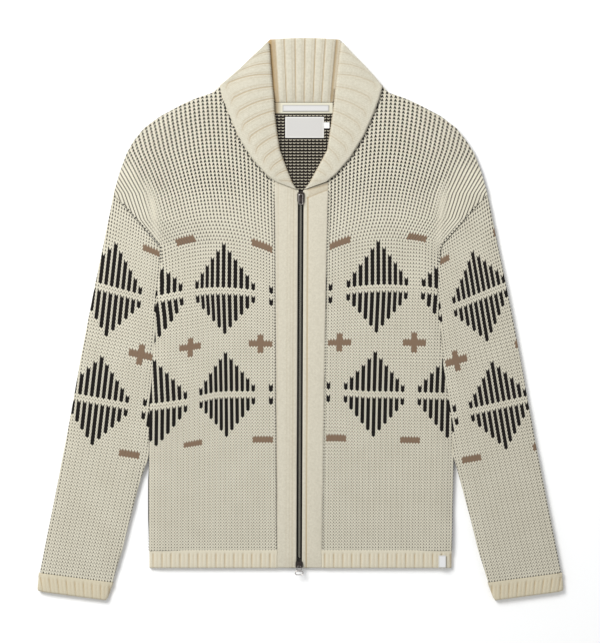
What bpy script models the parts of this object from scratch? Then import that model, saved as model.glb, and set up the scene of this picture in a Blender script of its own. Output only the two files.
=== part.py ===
"""Shawl-collar zip cardigan in chunky knit, laid flat with its front up.

The frame: +Z up from the surface it lies on, +Y towards the collar, +X to the viewer's right
when looking down on the front. Sizes below are millimetres and become metres in make_object.
"left" and "right" mean the sides as seen from above.
"""
import math

import bmesh
import bpy
import numpy as np

# Driving sizes, in millimetres
WALL = 3.5
SEAM_GAP = 0.4
LAYER_GAP = 0.3
FRONT_LEVEL = WALL + LAYER_GAP
FRONT_TOP = FRONT_LEVEL + WALL
SIDE_PUFF = 2.4
FIELD_PUFF = 0.9
NECK_CENTRE = (4.0, 300.0)
COLLAR_REACH = 128.0
COLLAR_REST = 1.3
SLEEVE_HEIGHT = 9.4
COLLAR_WALL = 4.5
RIB_HEIGHT = 1.1
HEM_TOP_Y = -320.4
HEM_BOTTOM_Y = -347.0
HEM_RIB_PITCH = 12.4
CUFF_LENGTH = 24.5
CUFF_RIB_PITCH = 11.5
COLLAR_RIBS = 12
STAND_RIBS = 6
STAND_HEIGHT = 90.0
NECK_SEAM_Y = 298.0
ZIP_TOP_Y = 177.0
ZIP_LEAN = 2.4
ZIP_HALF_WIDTH = 2.9
TAPE_HALF_WIDTH = 14.0
TAPE_THICK = 0.8
PLACKET_INNER = 3.9
PLACKET_WALL = 3.7
PIVOT_HEIGHT = 1.2


def table(names, rows):
    """A short table as named columns."""
    columns = np.array(rows, dtype=float).T
    return dict(zip(names.split(), columns))


# The body from the neck edge down to the hem seam, a row for each level of the outline.
# middle and side are Y at the centre line and at the side, front is Y at the front's inner edge,
# fold is 1 where the side is a fold and 0 where a sleeve is sewn on.
BODY = table("middle front side left right fold", [
    (298, 319.6, 320, 112.0, 113.5, 1),
    (292, 310, 313, 118.5, 119.0, 1),
    (286, 297, 305, 143.0, 142.5, 1),
    (280, 284, 296.7, 161.5, 161.0, 1),
    (270, 265, 280, 192.5, 192.5, 1),
    (258, 245, 264, 214.5, 213.5, 1),
    (245, 225, 247, 228.5, 227.0, 1),
    (230, 208, 230, 238.2, 238.0, 1),
    (205, 189, 205, 247.7, 247.7, 1),
    (172.5, 165, 172.5, 257.0, 257.0, 0),
    (149, 147, 149, 236.1, 236.1, 0),
    (125.5, 125, 125.5, 215.2, 215.2, 0),
    (102, 102, 102, 194.0, 194.4, 0),
    (67.6, 67.6, 67.6, 192.5, 190.4, 1),
    (30.4, 30.4, 30.4, 198.4, 188.2, 1),
    (-15, -15, -15, 199.8, 193.2, 1),
    (-63.5, -63.5, -63.5, 203.6, 196.4, 1),
    (-112, -112, -112, 207.1, 203.6, 1),
    (-153, -153, -153, 208.4, 208.4, 1),
    (-190, -190, -190, 208.4, 210.5, 1),
    (-222, -222, -222, 210.3, 210.5, 1),
    (-277, -277, -277, 210.3, 209.4, 1),
    (-320, -320, -320, 208.6, 208.8, 1),
])

# Outer edge of the sleeves, both alike
SLEEVE_OUTER = table("y x", [
    (-378, 361.0),
    (-360, 361.2),
    (-305, 350.5),
    (-222.2, 334.0),
    (-139.4, 318.1),
    (-56.6, 303.6),
    (26, 287.7),
    (109, 270.5),
    (172.5, 257.4),
])

# Inner edge of the sleeves below the place where they leave the body
SLEEVE_INNER = table("y left right", [
    (-392, 272.0, 272.0),
    (-360, 258.3, 257.8),
    (-319, 246.5, 245.5),
    (-263.6, 232.5, 232.0),
    (-222.2, 221.5, 220.5),
    (-191, 212.6, 213.2),
])

# The collar from its front end up to the top corner, a row for each station along the roll line.
# lap is how far the fall reaches over the front panel, and cover is 1 where that panel is there.
COLLAR = table("roll_left roll_right roll_y edge_left edge_right edge_y lap cover", [
    (4.6, 4.6, 178.4, 35.0, 36.5, 189.8, 1.0, 1),
    (10.4, 11.5, 187.0, 40.0, 41.0, 193.5, 6.0, 1),
    (18.6, 22.5, 207.0, 48.0, 49.0, 200.0, 12.0, 1),
    (28.3, 36.6, 233.2, 67.5, 68.5, 222.7, 12.0, 1),
    (32.4, 40.7, 259.4, 85.3, 86.5, 251.4, 12.0, 1),
    (35.2, 44.0, 281.5, 95.9, 98.0, 276.6, 12.0, 1),
    (36.3, 46.4, 302.2, 105.6, 107.5, 300.8, 12.0, 1),
    (38.0, 48.2, 321.0, 111.8, 113.2, 320.8, 12.0, 1),
    (39.2, 49.6, 335.0, 97.5, 103.0, 333.8, 12.0, 0),
    (40.5, 51.6, 351.0, 78.5, 87.8, 350.5, 12.0, 0),
    (41.6, 53.3, 366.5, 61.8, 72.0, 366.0, 12.0, 0),
    (42.4, 54.6, 375.0, 52.8, 64.0, 375.0, 12.0, 0),
    (43.0, 55.2, 380.5, 48.0, 59.6, 380.6, 12.0, 0),
])

# Inner edge of each front, where its band is sewn on
FRONT_EDGE = table("y left right", [
    (-347, 31.4, 28.8),
    (-200, 32.6, 30.4),
    (54, 34.0, 34.6),
    (178, 35.2, 37.6),
    (189, 35.2, 37.8),
])

# Soft troughs in the cloth, in the places where the flat garment gives: from, to, width, depth
TROUGHS = table("x0 y0 x1 y1 width depth", [
    (-200, 236, -197, 118, 9, 1.3),
    (187, 236, 194, 120, 9, 1.3),
    (-150, 262, -196, 196, 10, 0.9),
    (150, 262, 190, 196, 10, 0.9),
    (-188, 96, -120, 84, 11, 1.0),
    (186, 92, 118, 70, 11, 0.9),
    (-60, -180, -58, -300, 12, 0.8),
    (196, -60, 132, -36, 12, 0.8),
])

RIB_STEPS = ((0.0, 0.0), (0.27, 1.0), (0.73, 1.0))

# Base colour and roughness of each finish
CREAM = ((0.72, 0.67, 0.56), 0.9)
RIB_CREAM = ((0.74, 0.66, 0.50), 0.9)
DARK_TAPE = ((0.02, 0.018, 0.016), 0.85)
LABEL = ((0.78, 0.76, 0.70), 0.8)
ZIP_METAL = ((0.22, 0.20, 0.18), 0.4)
PULL_METAL = ((0.62, 0.60, 0.57), 0.3)


def value_at(tab, y, name, key="y"):
    """One column of a table, read at a level by straight lines between its rows."""
    order = np.argsort(tab[key])
    return np.interp(y, tab[key][order], tab[name][order])


def curve_at(knots, values, at):
    """A smooth curve through the values at the knots."""
    slopes = np.gradient(values, knots)
    low = np.clip(np.searchsorted(knots, at) - 1, 0, len(knots) - 2)
    span = knots[low + 1] - knots[low]
    t = (at - knots[low]) / span
    start = (1 + 2 * t) * (1 - t) ** 2 * values[low] + t * (1 - t) ** 2 * span * slopes[low]
    end = t * t * (3 - 2 * t) * values[low + 1] + t * t * (t - 1) * span * slopes[low + 1]
    return start + end


def ease(t):
    """0 to 1 with soft ends."""
    t = np.clip(t, 0.0, 1.0)
    return t * t * (3 - 2 * t)


def trough_depth(x, y):
    """How far the soft folds pull the cloth down at a point."""
    depth = np.zeros_like(x)
    for x0, y0, x1, y1, width, deep in zip(*TROUGHS.values()):
        run = np.array((x1 - x0, y1 - y0))
        along = np.clip(((x - x0) * run[0] + (y - y0) * run[1]) / run.dot(run), 0, 1)
        away = np.hypot(x - x0 - along * run[0], y - y0 - along * run[1])
        swell = np.sin(math.pi * (0.1 + 0.8 * along))
        depth = np.maximum(depth, deep * np.exp(-(away / width) ** 2) * swell)
    return depth


def body_puff(x, y, side_distance):
    """Air between the front and the back: most beside a side fold, least in the troughs."""
    near_side = np.exp(-((side_distance - 13.0) / 13.0) ** 2)
    puff = FIELD_PUFF + (SIDE_PUFF - FIELD_PUFF) * near_side
    clear_of_collar = ease((np.hypot(x - NECK_CENTRE[0], y - NECK_CENTRE[1]) - COLLAR_REACH) / 30.0)
    puff = 0.2 + (puff * ease(side_distance / 9.0) - trough_depth(x, y)) * clear_of_collar
    return np.maximum(puff, 0.0)


def fold_round(side_distance, fold):
    """How far a wall's outer skin has turned away at a folded side."""
    turned = np.sqrt(np.clip(1 - (1 - np.clip(side_distance / 5.0, 0, 1)) ** 2, 0, 1))
    return (1 - turned) * (WALL - 0.9) * fold


def rib_phases(count):
    """Positions of the ribs' columns from 0 to 1, and the height of each."""
    where = []
    height = []
    for rib in range(count):
        for step, rise in RIB_STEPS:
            where.append((rib + step) / count)
            height.append(rise)
    return np.array(where + [1.0]), np.array(height + [0.0])


def material(name, finish, metal=0.0):
    """A plain Principled material for one piece."""
    made = bpy.data.materials.new(name + "_finish")
    made.use_nodes = True
    shader = made.node_tree.nodes["Principled BSDF"]
    shader.inputs["Base Color"].default_value = (*finish[0], 1.0)
    shader.inputs["Roughness"].default_value = finish[1]
    shader.inputs["Metallic"].default_value = metal
    return made


def make_object(name, points, faces, finish, metal=0.0):
    """A mesh object from points in millimetres."""
    mesh = bpy.data.meshes.new(name)
    mesh.from_pydata([tuple(float(c) * 0.001 for c in p) for p in points], [], faces)
    shape = bmesh.new()
    shape.from_mesh(mesh)
    bmesh.ops.recalc_face_normals(shape, faces=shape.faces)
    if shape.calc_volume(signed=True) < 0:
        bmesh.ops.reverse_faces(shape, faces=shape.faces)
    shape.to_mesh(mesh)
    shape.free()
    mesh.materials.append(material(name, finish, metal))
    mesh.shade_smooth()
    mesh.set_sharp_from_angle(angle=math.radians(50))
    made = bpy.data.objects.new(name, mesh)
    garment_collection.objects.link(made)
    return made


def slab(name, x, y, under, over, finish):
    """A closed wall over a grid of plan points, between two skins."""
    rows, columns = x.shape
    lower = np.stack((x, y, under), axis=-1).reshape(-1, 3)
    upper = np.stack((x, y, over), axis=-1).reshape(-1, 3)
    shift = rows * columns
    faces = []
    for r in range(rows - 1):
        for c in range(columns - 1):
            a = r * columns + c
            quad = (a, a + 1, a + columns + 1, a + columns)
            faces.append(tuple(v + shift for v in quad))
            faces.append(tuple(reversed(quad)))
    rim = [c for c in range(columns)]
    rim += [r * columns + columns - 1 for r in range(1, rows)]
    rim += [(rows - 1) * columns + c for c in range(columns - 2, -1, -1)]
    rim += [r * columns for r in range(rows - 2, 0, -1)]
    for a, b in zip(rim, rim[1:] + rim[:1]):
        faces.append((a, b, b + shift, a + shift))
    return make_object(name, np.vstack((lower, upper)), faces, finish)


def ring_loft(name, outer, inner, finish):
    """A closed tube wall: outer and inner rings, one pair for each station."""
    stations, around, _ = outer.shape
    points = np.vstack((outer.reshape(-1, 3), inner.reshape(-1, 3)))
    shift = stations * around
    faces = []
    for s in range(stations - 1):
        for k in range(around):
            after = (k + 1) % around
            a, b = s * around + k, s * around + after
            faces.append((a, b, b + around, a + around))
            faces.append((a + shift + around, b + shift + around, b + shift, a + shift))
    for s in (0, stations - 1):
        for k in range(around):
            after = (k + 1) % around
            a, b = s * around + k, s * around + after
            faces.append((a, b, b + shift, a + shift))
    return make_object(name, points, faces, finish)


def side_columns(inner_x, side_x, slope, field_shares):
    """Plan X from a panel's inner edge to its side, closer together where the side folds."""
    stretch = math.hypot(1.0, slope)
    from_side = np.array((12.0, 6.0, 2.2, 0.6, 0.0)) * stretch
    from_side *= min(1.0, 0.25 * (side_x - inner_x) / from_side[0])
    field = inner_x + (side_x - inner_x) * np.array(field_shares)
    return np.concatenate((field, side_x - from_side)), stretch


def side_slope(row, column):
    """How fast the outline widens with Y at a row of the body."""
    if BODY["fold"][row] == 0:
        return 0.0
    low, high = max(row - 1, 0), min(row + 1, len(BODY["side"]) - 1)
    rise = BODY["side"][low] - BODY["side"][high]
    return (BODY[column][low] - BODY[column][high]) / rise


def build_back():
    """The back panel, flat on the surface, from side to side."""
    x, y, distance, fold = [], [], [], []
    shares = (0.0, 0.21, 0.42, 0.63)
    for row in range(len(BODY["side"])):
        left, stretch = side_columns(0.0, BODY["left"][row], side_slope(row, "left"), shares)
        right, _ = side_columns(0.0, BODY["right"][row], side_slope(row, "right"), shares)
        line = np.concatenate((-left[::-1], right[1:]))
        reach = np.concatenate((left[::-1] / left[-1], right[1:] / right[-1]))
        x.append(line)
        climb = ease((reach - shares[2]) / (1 - shares[2]))
        y.append(BODY["middle"][row] + (BODY["side"][row] - BODY["middle"][row]) * climb)
        near = np.concatenate((left[-1] - left[::-1], right[-1] - right[1:]))
        distance.append(near / stretch)
        fold.append(np.full(len(line), BODY["fold"][row]))
    x, y, distance, fold = (np.array(v) for v in (x, y, distance, fold))
    under = fold_round(distance, fold)
    slab("back_panel", x, y, under, np.full_like(x, WALL), CREAM)


def neck_edge(side):
    """Where a front ends under the collar: points set in from the collar's outer edge."""
    roll = np.stack((COLLAR["roll_" + side], COLLAR["roll_y"]), axis=-1)
    edge = np.stack((COLLAR["edge_" + side], COLLAR["edge_y"]), axis=-1)
    inward = roll - edge
    inward /= np.linalg.norm(inward, axis=1)[:, None]
    return (edge + inward * np.maximum(COLLAR["lap"] - 2.0, 0.2)[:, None])[COLLAR["cover"] > 0]


def front_inner_x(side, y):
    """X of a front's inner edge: its band below, the neck under the collar above."""
    neck = neck_edge(side)
    band = value_at(FRONT_EDGE, y, side)
    under_collar = np.interp(y, neck[:, 1], neck[:, 0])
    return np.where(y > neck[0, 1], np.maximum(under_collar, band * 0.99), band)


def build_front(side):
    """One front, from its band to the side fold and up to the shoulder."""
    sign = -1 if side == "left" else 1
    x, y, distance, fold = [], [], [], []
    shares = (0, 0.1, 0.22, 0.34, 0.46, 0.58, 0.7)
    for row in range(len(BODY["side"])):
        inner = float(front_inner_x(side, BODY["front"][row])) + SEAM_GAP
        line, stretch = side_columns(inner, BODY[side][row], side_slope(row, side), shares)
        reach = (line - inner) / (line[-1] - inner)
        x.append(sign * line)
        y.append(BODY["front"][row] + (BODY["side"][row] - BODY["front"][row]) * reach)
        distance.append((line[-1] - line) / stretch)
        fold.append(np.full(len(line), BODY["fold"][row]))
    x, y, distance, fold = (np.array(v) for v in (x, y, distance, fold))
    under = FRONT_LEVEL + body_puff(x, y, distance)
    over = under + WALL - fold_round(distance, fold)
    slab("front_" + side, x, y, under, over, CREAM)


def build_hem_back():
    """The back's hem rib, plain where it lies flat."""
    across = np.linspace(-1, 1, 13)
    levels = np.array((HEM_TOP_Y, HEM_BOTTOM_Y + 2.0, HEM_BOTTOM_Y))
    x = np.array([np.where(across < 0, across * 208.4, across * 208.6) for _ in levels])
    y = np.repeat(levels[:, None], len(across), axis=1)
    under = np.zeros_like(x)
    under[-1] = 0.9
    under[:, (0, -1)] = 1.8
    slab("hem_rib_back", x, y, under, np.full_like(x, WALL), RIB_CREAM)


def build_hem_front(side):
    """One front's hem rib, with its ribs raised."""
    sign = -1 if side == "left" else 1
    levels = np.array((HEM_TOP_Y, HEM_TOP_Y - 3.0, HEM_BOTTOM_Y + 3.0, HEM_BOTTOM_Y))
    inner = value_at(FRONT_EDGE, HEM_BOTTOM_Y, side) + SEAM_GAP
    outer = 208.4
    count = int(round((outer - inner) / HEM_RIB_PITCH))
    where, rise = rib_phases(count)
    line = inner + (outer - inner) * where
    x = sign * np.repeat(line[None, :], len(levels), axis=0)
    y = np.repeat(levels[:, None], len(line), axis=1)
    distance = outer - np.abs(x)
    under = np.full_like(x, FRONT_LEVEL) + 0.6 * ease(distance / 9.0)
    strength = np.array((0.2, 1.0, 1.0, 0.4))[:, None]
    drop = np.array((0.0, 0.0, 0.0, 1.8))[:, None]
    over = under + WALL - fold_round(distance, 1.0) + RIB_HEIGHT * rise[None, :] * strength - drop
    over = np.maximum(over, under + 0.8)
    slab("hem_rib_front_" + side, x, y, under, over, RIB_CREAM)


def sleeve_edges(side, levels_out, levels_in):
    """Outer and inner plan points of a sleeve at pairs of levels."""
    outer = np.stack((value_at(SLEEVE_OUTER, levels_out, "x"), levels_out), axis=-1)
    free = value_at(SLEEVE_INNER, levels_in, side)
    beside = value_at(BODY, levels_in, side, key="side") + 1.0
    apart = levels_in < SLEEVE_INNER["y"].max()
    inner = np.stack((np.where(apart, np.maximum(free, beside), beside), levels_in), axis=-1)
    return outer, inner


def flat_ring(outer_point, inner_point, across, height, lift, wall):
    """A flattened ring between two plan points: its outer and inner loops.

    across is the run of places from the outer edge to the inner edge, lift what ribs add on top.
    """
    width = np.linalg.norm(outer_point - inner_point)
    reach = across * width
    edge = np.minimum(reach, width - reach)
    turn = np.sqrt(np.clip(1 - (1 - np.clip(edge / (height * 0.8), 0, 1)) ** 2, 0, 1))
    top = height / 2 + (height / 2) * turn + lift
    bottom = (height / 2) * (1 - turn)
    plan = outer_point[None, :] + (inner_point - outer_point)[None, :] * across[:, None]
    inner_reach = wall + across * (width - 2 * wall)
    inner_plan = outer_point[None, :] + (inner_point - outer_point)[None, :] * (inner_reach / width)[:, None]
    gap = max(height - 2 * wall, 0.8)
    from_end = np.clip(np.minimum(across, 1 - across) * width / 6.0, 0, 1)
    hollow = np.sqrt(np.clip(1 - (1 - from_end) ** 2, 0, 1))
    centre = height / 2
    up = np.concatenate((np.arange(len(across)), np.arange(len(across) - 2, 0, -1)))
    is_top = np.arange(len(up)) < len(across)
    outer_loop = np.column_stack((plan[up], np.where(is_top, top[up], bottom[up])))
    half_gap = 0.15 + (gap / 2 - 0.15) * hollow
    inner_z = np.where(is_top, centre + half_gap[up], centre - half_gap[up])
    ends = (up == 0) | (up == len(across) - 1)
    inner_z = np.where(ends, centre, inner_z)
    inner_loop = np.column_stack((inner_plan[up], inner_z))
    return outer_loop, inner_loop


def build_sleeve(side):
    """One sleeve, a flattened tube from the armhole seam to the cuff."""
    sign = -1 if side == "left" else 1
    top_out, top_in = 172.0, 100.6
    cuff_out, cuff_in = -351.5, -364.5
    beside = BODY["side"][BODY["side"] < top_in - 5.0]
    steps = np.concatenate(((0.0,), (top_in - beside) / (top_in - cuff_in), (1.0,)))
    levels_out = top_out + (cuff_out - top_out) * steps
    levels_in = top_in + (cuff_in - top_in) * steps
    outer, inner = sleeve_edges(side, levels_out, levels_in)
    outer[0] += (0.35, -0.45)
    inner[0] += (0.35, -0.3)
    across = np.array((0.0, 0.014, 0.06, 0.25, 0.5, 0.75, 0.94, 0.986, 1.0))
    loops, hollows = [], []
    for k, step in enumerate(steps):
        height = SLEEVE_HEIGHT - 1.2 * ease((0.12 - step) / 0.12)
        loop, hollow = flat_ring(outer[k], inner[k], across, height, 0.0, WALL)
        loops.append(loop)
        hollows.append(hollow)
    loops, hollows = np.array(loops), np.array(hollows)
    loops[..., 0] *= sign
    hollows[..., 0] *= sign
    ring_loft("sleeve_" + side, loops, hollows, CREAM)


def build_cuff(side):
    """One cuff in rib, a flattened ring with its ribs raised on top."""
    sign = -1 if side == "left" else 1
    top_out, top_in = np.array((361.0, -352.0)), np.array((258.9, -365.0))
    down = np.array((-(top_out - top_in)[1], (top_out - top_in)[0]))
    down = -down / np.linalg.norm(down)
    pull_in = np.array((0.0, 0.0, 0.4, 1.6))
    levels = np.array((0.0, 4.0, CUFF_LENGTH - 4.0, CUFF_LENGTH - 0.4))
    strength = np.array((0.3, 1.0, 1.0, 0.5))
    where, rise = rib_phases(int(round(103.0 / CUFF_RIB_PITCH)))
    inward = (top_in - top_out) / np.linalg.norm(top_in - top_out)
    taper = np.array((0.0, 1.5, 7.0, 9.0))
    loops, hollows = [], []
    for level, power, tuck, narrow in zip(levels, strength, pull_in, taper):
        left = top_out + down * level + inward * (tuck * 1.5)
        right = top_in + down * level - inward * (tuck + narrow * 0.15)
        height = SLEEVE_HEIGHT - (1.5 if level == levels[-1] else 0.0)
        loop, hollow = flat_ring(left, right, where, height, RIB_HEIGHT * 0.9 * rise * power, WALL)
        loops.append(loop)
        hollows.append(hollow)
    loops, hollows = np.array(loops), np.array(hollows)
    loops[..., 0] *= sign
    hollows[..., 0] *= sign
    ring_loft("cuff_" + side, loops, hollows, RIB_CREAM)


def zip_x(y):
    """The zip leans a little to the left towards the hem."""
    return 0.5 - ZIP_LEAN * (ZIP_TOP_Y - y) / (ZIP_TOP_Y - HEM_BOTTOM_Y)


def build_placket(side):
    """The plain band along one front edge, from the collar's end to the hem."""
    sign = -1 if side == "left" else 1
    steps = np.array((0.0, 0.02, 0.1, 0.25, 0.4, 0.55, 0.7, 0.85, 0.97, 1.0))
    across = np.array((0.0, 0.04, 0.14, 0.5, 0.86, 0.96, 1.0))
    top_inner, top_outer = 176.6, 188.2
    rows_x, rows_y = [], []
    for step in steps:
        y_inner = top_inner + (HEM_BOTTOM_Y + 0.5 - top_inner) * step
        y_outer = top_outer + (HEM_BOTTOM_Y + 0.5 - top_outer) * step
        near = PLACKET_INNER + sign * zip_x(y_inner)
        far = value_at(FRONT_EDGE, y_outer, side)
        rows_x.append(sign * (near + (far - near) * across))
        rows_y.append(y_inner + (y_outer - y_inner) * across)
    x, y = np.array(rows_x), np.array(rows_y)
    under = np.full_like(x, FRONT_LEVEL + TAPE_THICK + LAYER_GAP)
    crown = np.array((-1.9, -0.5, 0.0, 0.2, 0.0, -0.5, -1.4))[None, :]
    over = under + PLACKET_WALL + crown
    over[-1] -= 1.6
    slab("placket_" + side, x, y, under, over, CREAM)


def build_zip():
    """Two tapes under the bands, the closed chain between them and its two sliders."""
    chain_top, chain_bottom = 160.4, -333.6
    levels = np.linspace(ZIP_TOP_Y, HEM_BOTTOM_Y + 3.0, 8)
    for side, sign in (("left", -1), ("right", 1)):
        near = np.array([zip_x(y) + sign * 0.25 for y in levels])
        far = near + sign * (TAPE_HALF_WIDTH - 0.25)
        x = np.stack((near, far), axis=-1)
        y = np.repeat(levels[:, None], 2, axis=1)
        under = np.full_like(x, FRONT_LEVEL)
        slab("zip_tape_" + side, x, y, under, under + TAPE_THICK, DARK_TAPE)
    levels = np.linspace(chain_top, chain_bottom, 8)
    across = np.array((-1.0, -0.7, 0.0, 0.7, 1.0))
    x = np.array([zip_x(y) + across * ZIP_HALF_WIDTH for y in levels])
    y = np.repeat(levels[:, None], len(across), axis=1)
    under = np.full_like(x, FRONT_LEVEL + TAPE_THICK + LAYER_GAP)
    over = under + np.array((1.2, 2.4, 2.7, 2.4, 1.2))[None, :]
    slab("zip_chain", x, y, under, over, ZIP_METAL)


def wire_loop(name, points, radius, finish):
    """A closed loop of round wire through points in millimetres."""
    curve = bpy.data.curves.new(name + "_wire", "CURVE")
    curve.dimensions = "3D"
    curve.bevel_depth = radius * 0.001
    curve.bevel_resolution = 2
    spline = curve.splines.new("POLY")
    spline.points.add(len(points) - 1)
    for spot, point in zip(spline.points, points):
        spot.co = (point[0] * 0.001, point[1] * 0.001, point[2] * 0.001, 1.0)
    spline.use_cyclic_u = True
    made = bpy.data.objects.new(name, curve)
    garment_collection.objects.link(made)
    curve.materials.append(material(name, finish, 1.0))
    return made


def build_slider(name, centre_y, length, bail_shift):
    """A slider: a body between the bands, a wider top plate, and a bail for the pull."""
    centre_x = zip_x(centre_y)
    low, seat, top = FRONT_LEVEL + TAPE_THICK + LAYER_GAP, 9.0, 10.2
    half = ((3.2, low), (3.2, seat), (4.9, seat), (4.9, top))
    profile = half + tuple((-px, pz) for px, pz in reversed(half))
    rows = ((-0.5, 0.80), (-0.36, 1.0), (0.30, 1.0), (0.5, 0.88))
    points = []
    for place, width in rows:
        for px, pz in profile:
            points.append((centre_x + px * width, centre_y + place * length, pz))
    count = len(profile)
    faces = []
    for r in range(len(rows) - 1):
        for k in range(count):
            after = (k + 1) % count
            a, b = r * count + k, r * count + after
            faces.append((a, b, b + count, a + count))
    faces.append(tuple(range(count)))
    faces.append(tuple(range((len(rows) - 1) * count, len(rows) * count)))
    body = make_object(name, points, faces, ZIP_METAL, 1.0)
    pivot = (centre_x, centre_y + bail_shift, top + PIVOT_HEIGHT)
    bpy.ops.mesh.primitive_torus_add(major_radius=0.0021, minor_radius=0.0007, major_segments=20,
                                     minor_segments=8, rotation=(0.0, math.pi / 2, 0.0),
                                     location=tuple(c * 0.001 for c in pivot))
    bail = bpy.context.object
    bail.name = name + "_bail"
    bail.hide_render = True
    bail.display_type = "WIRE"
    for holder in list(bail.users_collection):
        holder.objects.unlink(bail)
    cutter_collection.objects.link(bail)
    join = body.modifiers.new("bail", "BOOLEAN")
    join.operation = "UNION"
    join.object = bail
    return pivot


def rounded_box(width, near, far, corner, z, centre_x, centre_y, steps=3):
    """Plan points of a rectangle with round corners, from near to far along -Y."""
    points = []
    half = width / 2
    corners = ((half - corner, -near - corner, 0), (-half + corner, -near - corner, 90),
               (-half + corner, -far + corner, 180), (half - corner, -far + corner, 270))
    for cx, cy, first in corners:
        for step in range(steps + 1):
            turn = math.radians(first + 90 * step / steps)
            points.append((centre_x + cx + corner * math.cos(turn), centre_y + cy + corner * math.sin(turn), z))
    return points


def build_pulls(top_pivot, bottom_pivot):
    """The two pull tabs: a long narrow loop above, a small link with an oval ring below."""
    x, y, z = top_pivot
    wire_loop("pull_top", rounded_box(5.4, 0.0, 13.4, 1.0, z, x, y), 0.62, PULL_METAL)
    x, y, z = bottom_pivot
    link = [(x - 2.1, y, z), (x + 2.1, y, z), (x + 3.2, y - 4.6, z), (x + 2.7, y - 5.3, z),
            (x - 2.7, y - 5.3, z), (x - 3.2, y - 4.6, z)]
    wire_loop("pull_bottom_link", link, 0.6, PULL_METAL)
    wire_loop("pull_bottom_ring", rounded_box(10.6, 6.9, 11.9, 2.4, z, x, y, 5), 0.62, PULL_METAL)


def collar_stations(side):
    """Plan points of the roll line and the outer edge at each column of ribs."""
    roll_x, roll_y = COLLAR["roll_" + side], COLLAR["roll_y"]
    steps = np.hypot(np.diff(roll_x), np.diff(roll_y))
    knots = np.concatenate(((0.0,), np.cumsum(steps)))
    knots /= knots[-1]
    where, rise = rib_phases(COLLAR_RIBS)
    roll = np.stack((curve_at(knots, roll_x, where), curve_at(knots, roll_y, where)), axis=-1)
    edge_x = np.interp(where, knots, COLLAR["edge_" + side])
    edge_y = np.interp(where, knots, COLLAR["edge_y"])
    lap = np.interp(where, knots, COLLAR["lap"])
    cover = ease(np.interp(where, knots, COLLAR["cover"]))
    return roll, np.stack((edge_x, edge_y), axis=-1), lap, cover, rise


def build_collar_side(side):
    """The collar on one side: rolled at the neck, its fall lying on the front."""
    sign = -1 if side == "left" else 1
    roll, edge, laps, covers, rise = collar_stations(side)
    rest = FRONT_TOP + COLLAR_REST
    top = rest + COLLAR_WALL - RIB_HEIGHT
    rows_x, rows_y, rows_under, rows_over = [], [], [], []
    for k in range(len(rise)):
        width = float(np.linalg.norm(edge[k] - roll[k]))
        shrink = min(1.0, width / 34.0)
        lap, cover = laps[k] * shrink, covers[k]
        near = np.array((0.0, 1.3, 4.0, 9.0)) * shrink
        from_edge = lap * np.array((1.0, 0.97, 0.66, 0.33, 0.11, 0.0)) + np.array((0.35, 0, 0, 0, 0, 0))
        middle = np.linspace(near[-1], width - from_edge[0], 4)[1:-1]
        reach = np.concatenate((near, middle, width - from_edge))
        plan = roll[k] + (edge[k] - roll[k]) * (reach / width)[:, None]
        to_edge = width - reach
        under = FRONT_LEVEL + (rest - FRONT_LEVEL) * cover * (to_edge < lap * 0.98)
        edge_z = cover * (rest + 1.4) + (1 - cover) * (FRONT_LEVEL + 0.9)
        round_over = cover * 4.0 + (1 - cover) * 11.0 * shrink
        turn = np.sqrt(np.clip(1 - (1 - np.clip(to_edge / round_over, 0, 1)) ** 2, 0, 1))
        over = edge_z + (top - edge_z) * turn
        roll_turn = np.sqrt(np.clip(1 - (1 - np.clip(reach / (6.0 * shrink), 0, 1)) ** 2, 0, 1))
        over -= (1 - roll_turn) * 5.2 * shrink
        ribs = RIB_HEIGHT * rise[k] * ease(to_edge / 14.0) * ease((reach + 1.0) / 5.0)
        rows_x.append(sign * plan[:, 0])
        rows_y.append(plan[:, 1])
        rows_under.append(under + np.zeros_like(reach))
        rows_over.append(np.maximum(over + ribs, under + 0.7))
    x, y, under, over = (np.array(v) for v in (rows_x, rows_y, rows_under, rows_over))
    slab("collar_" + side, x, y, under, over, RIB_CREAM)


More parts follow.
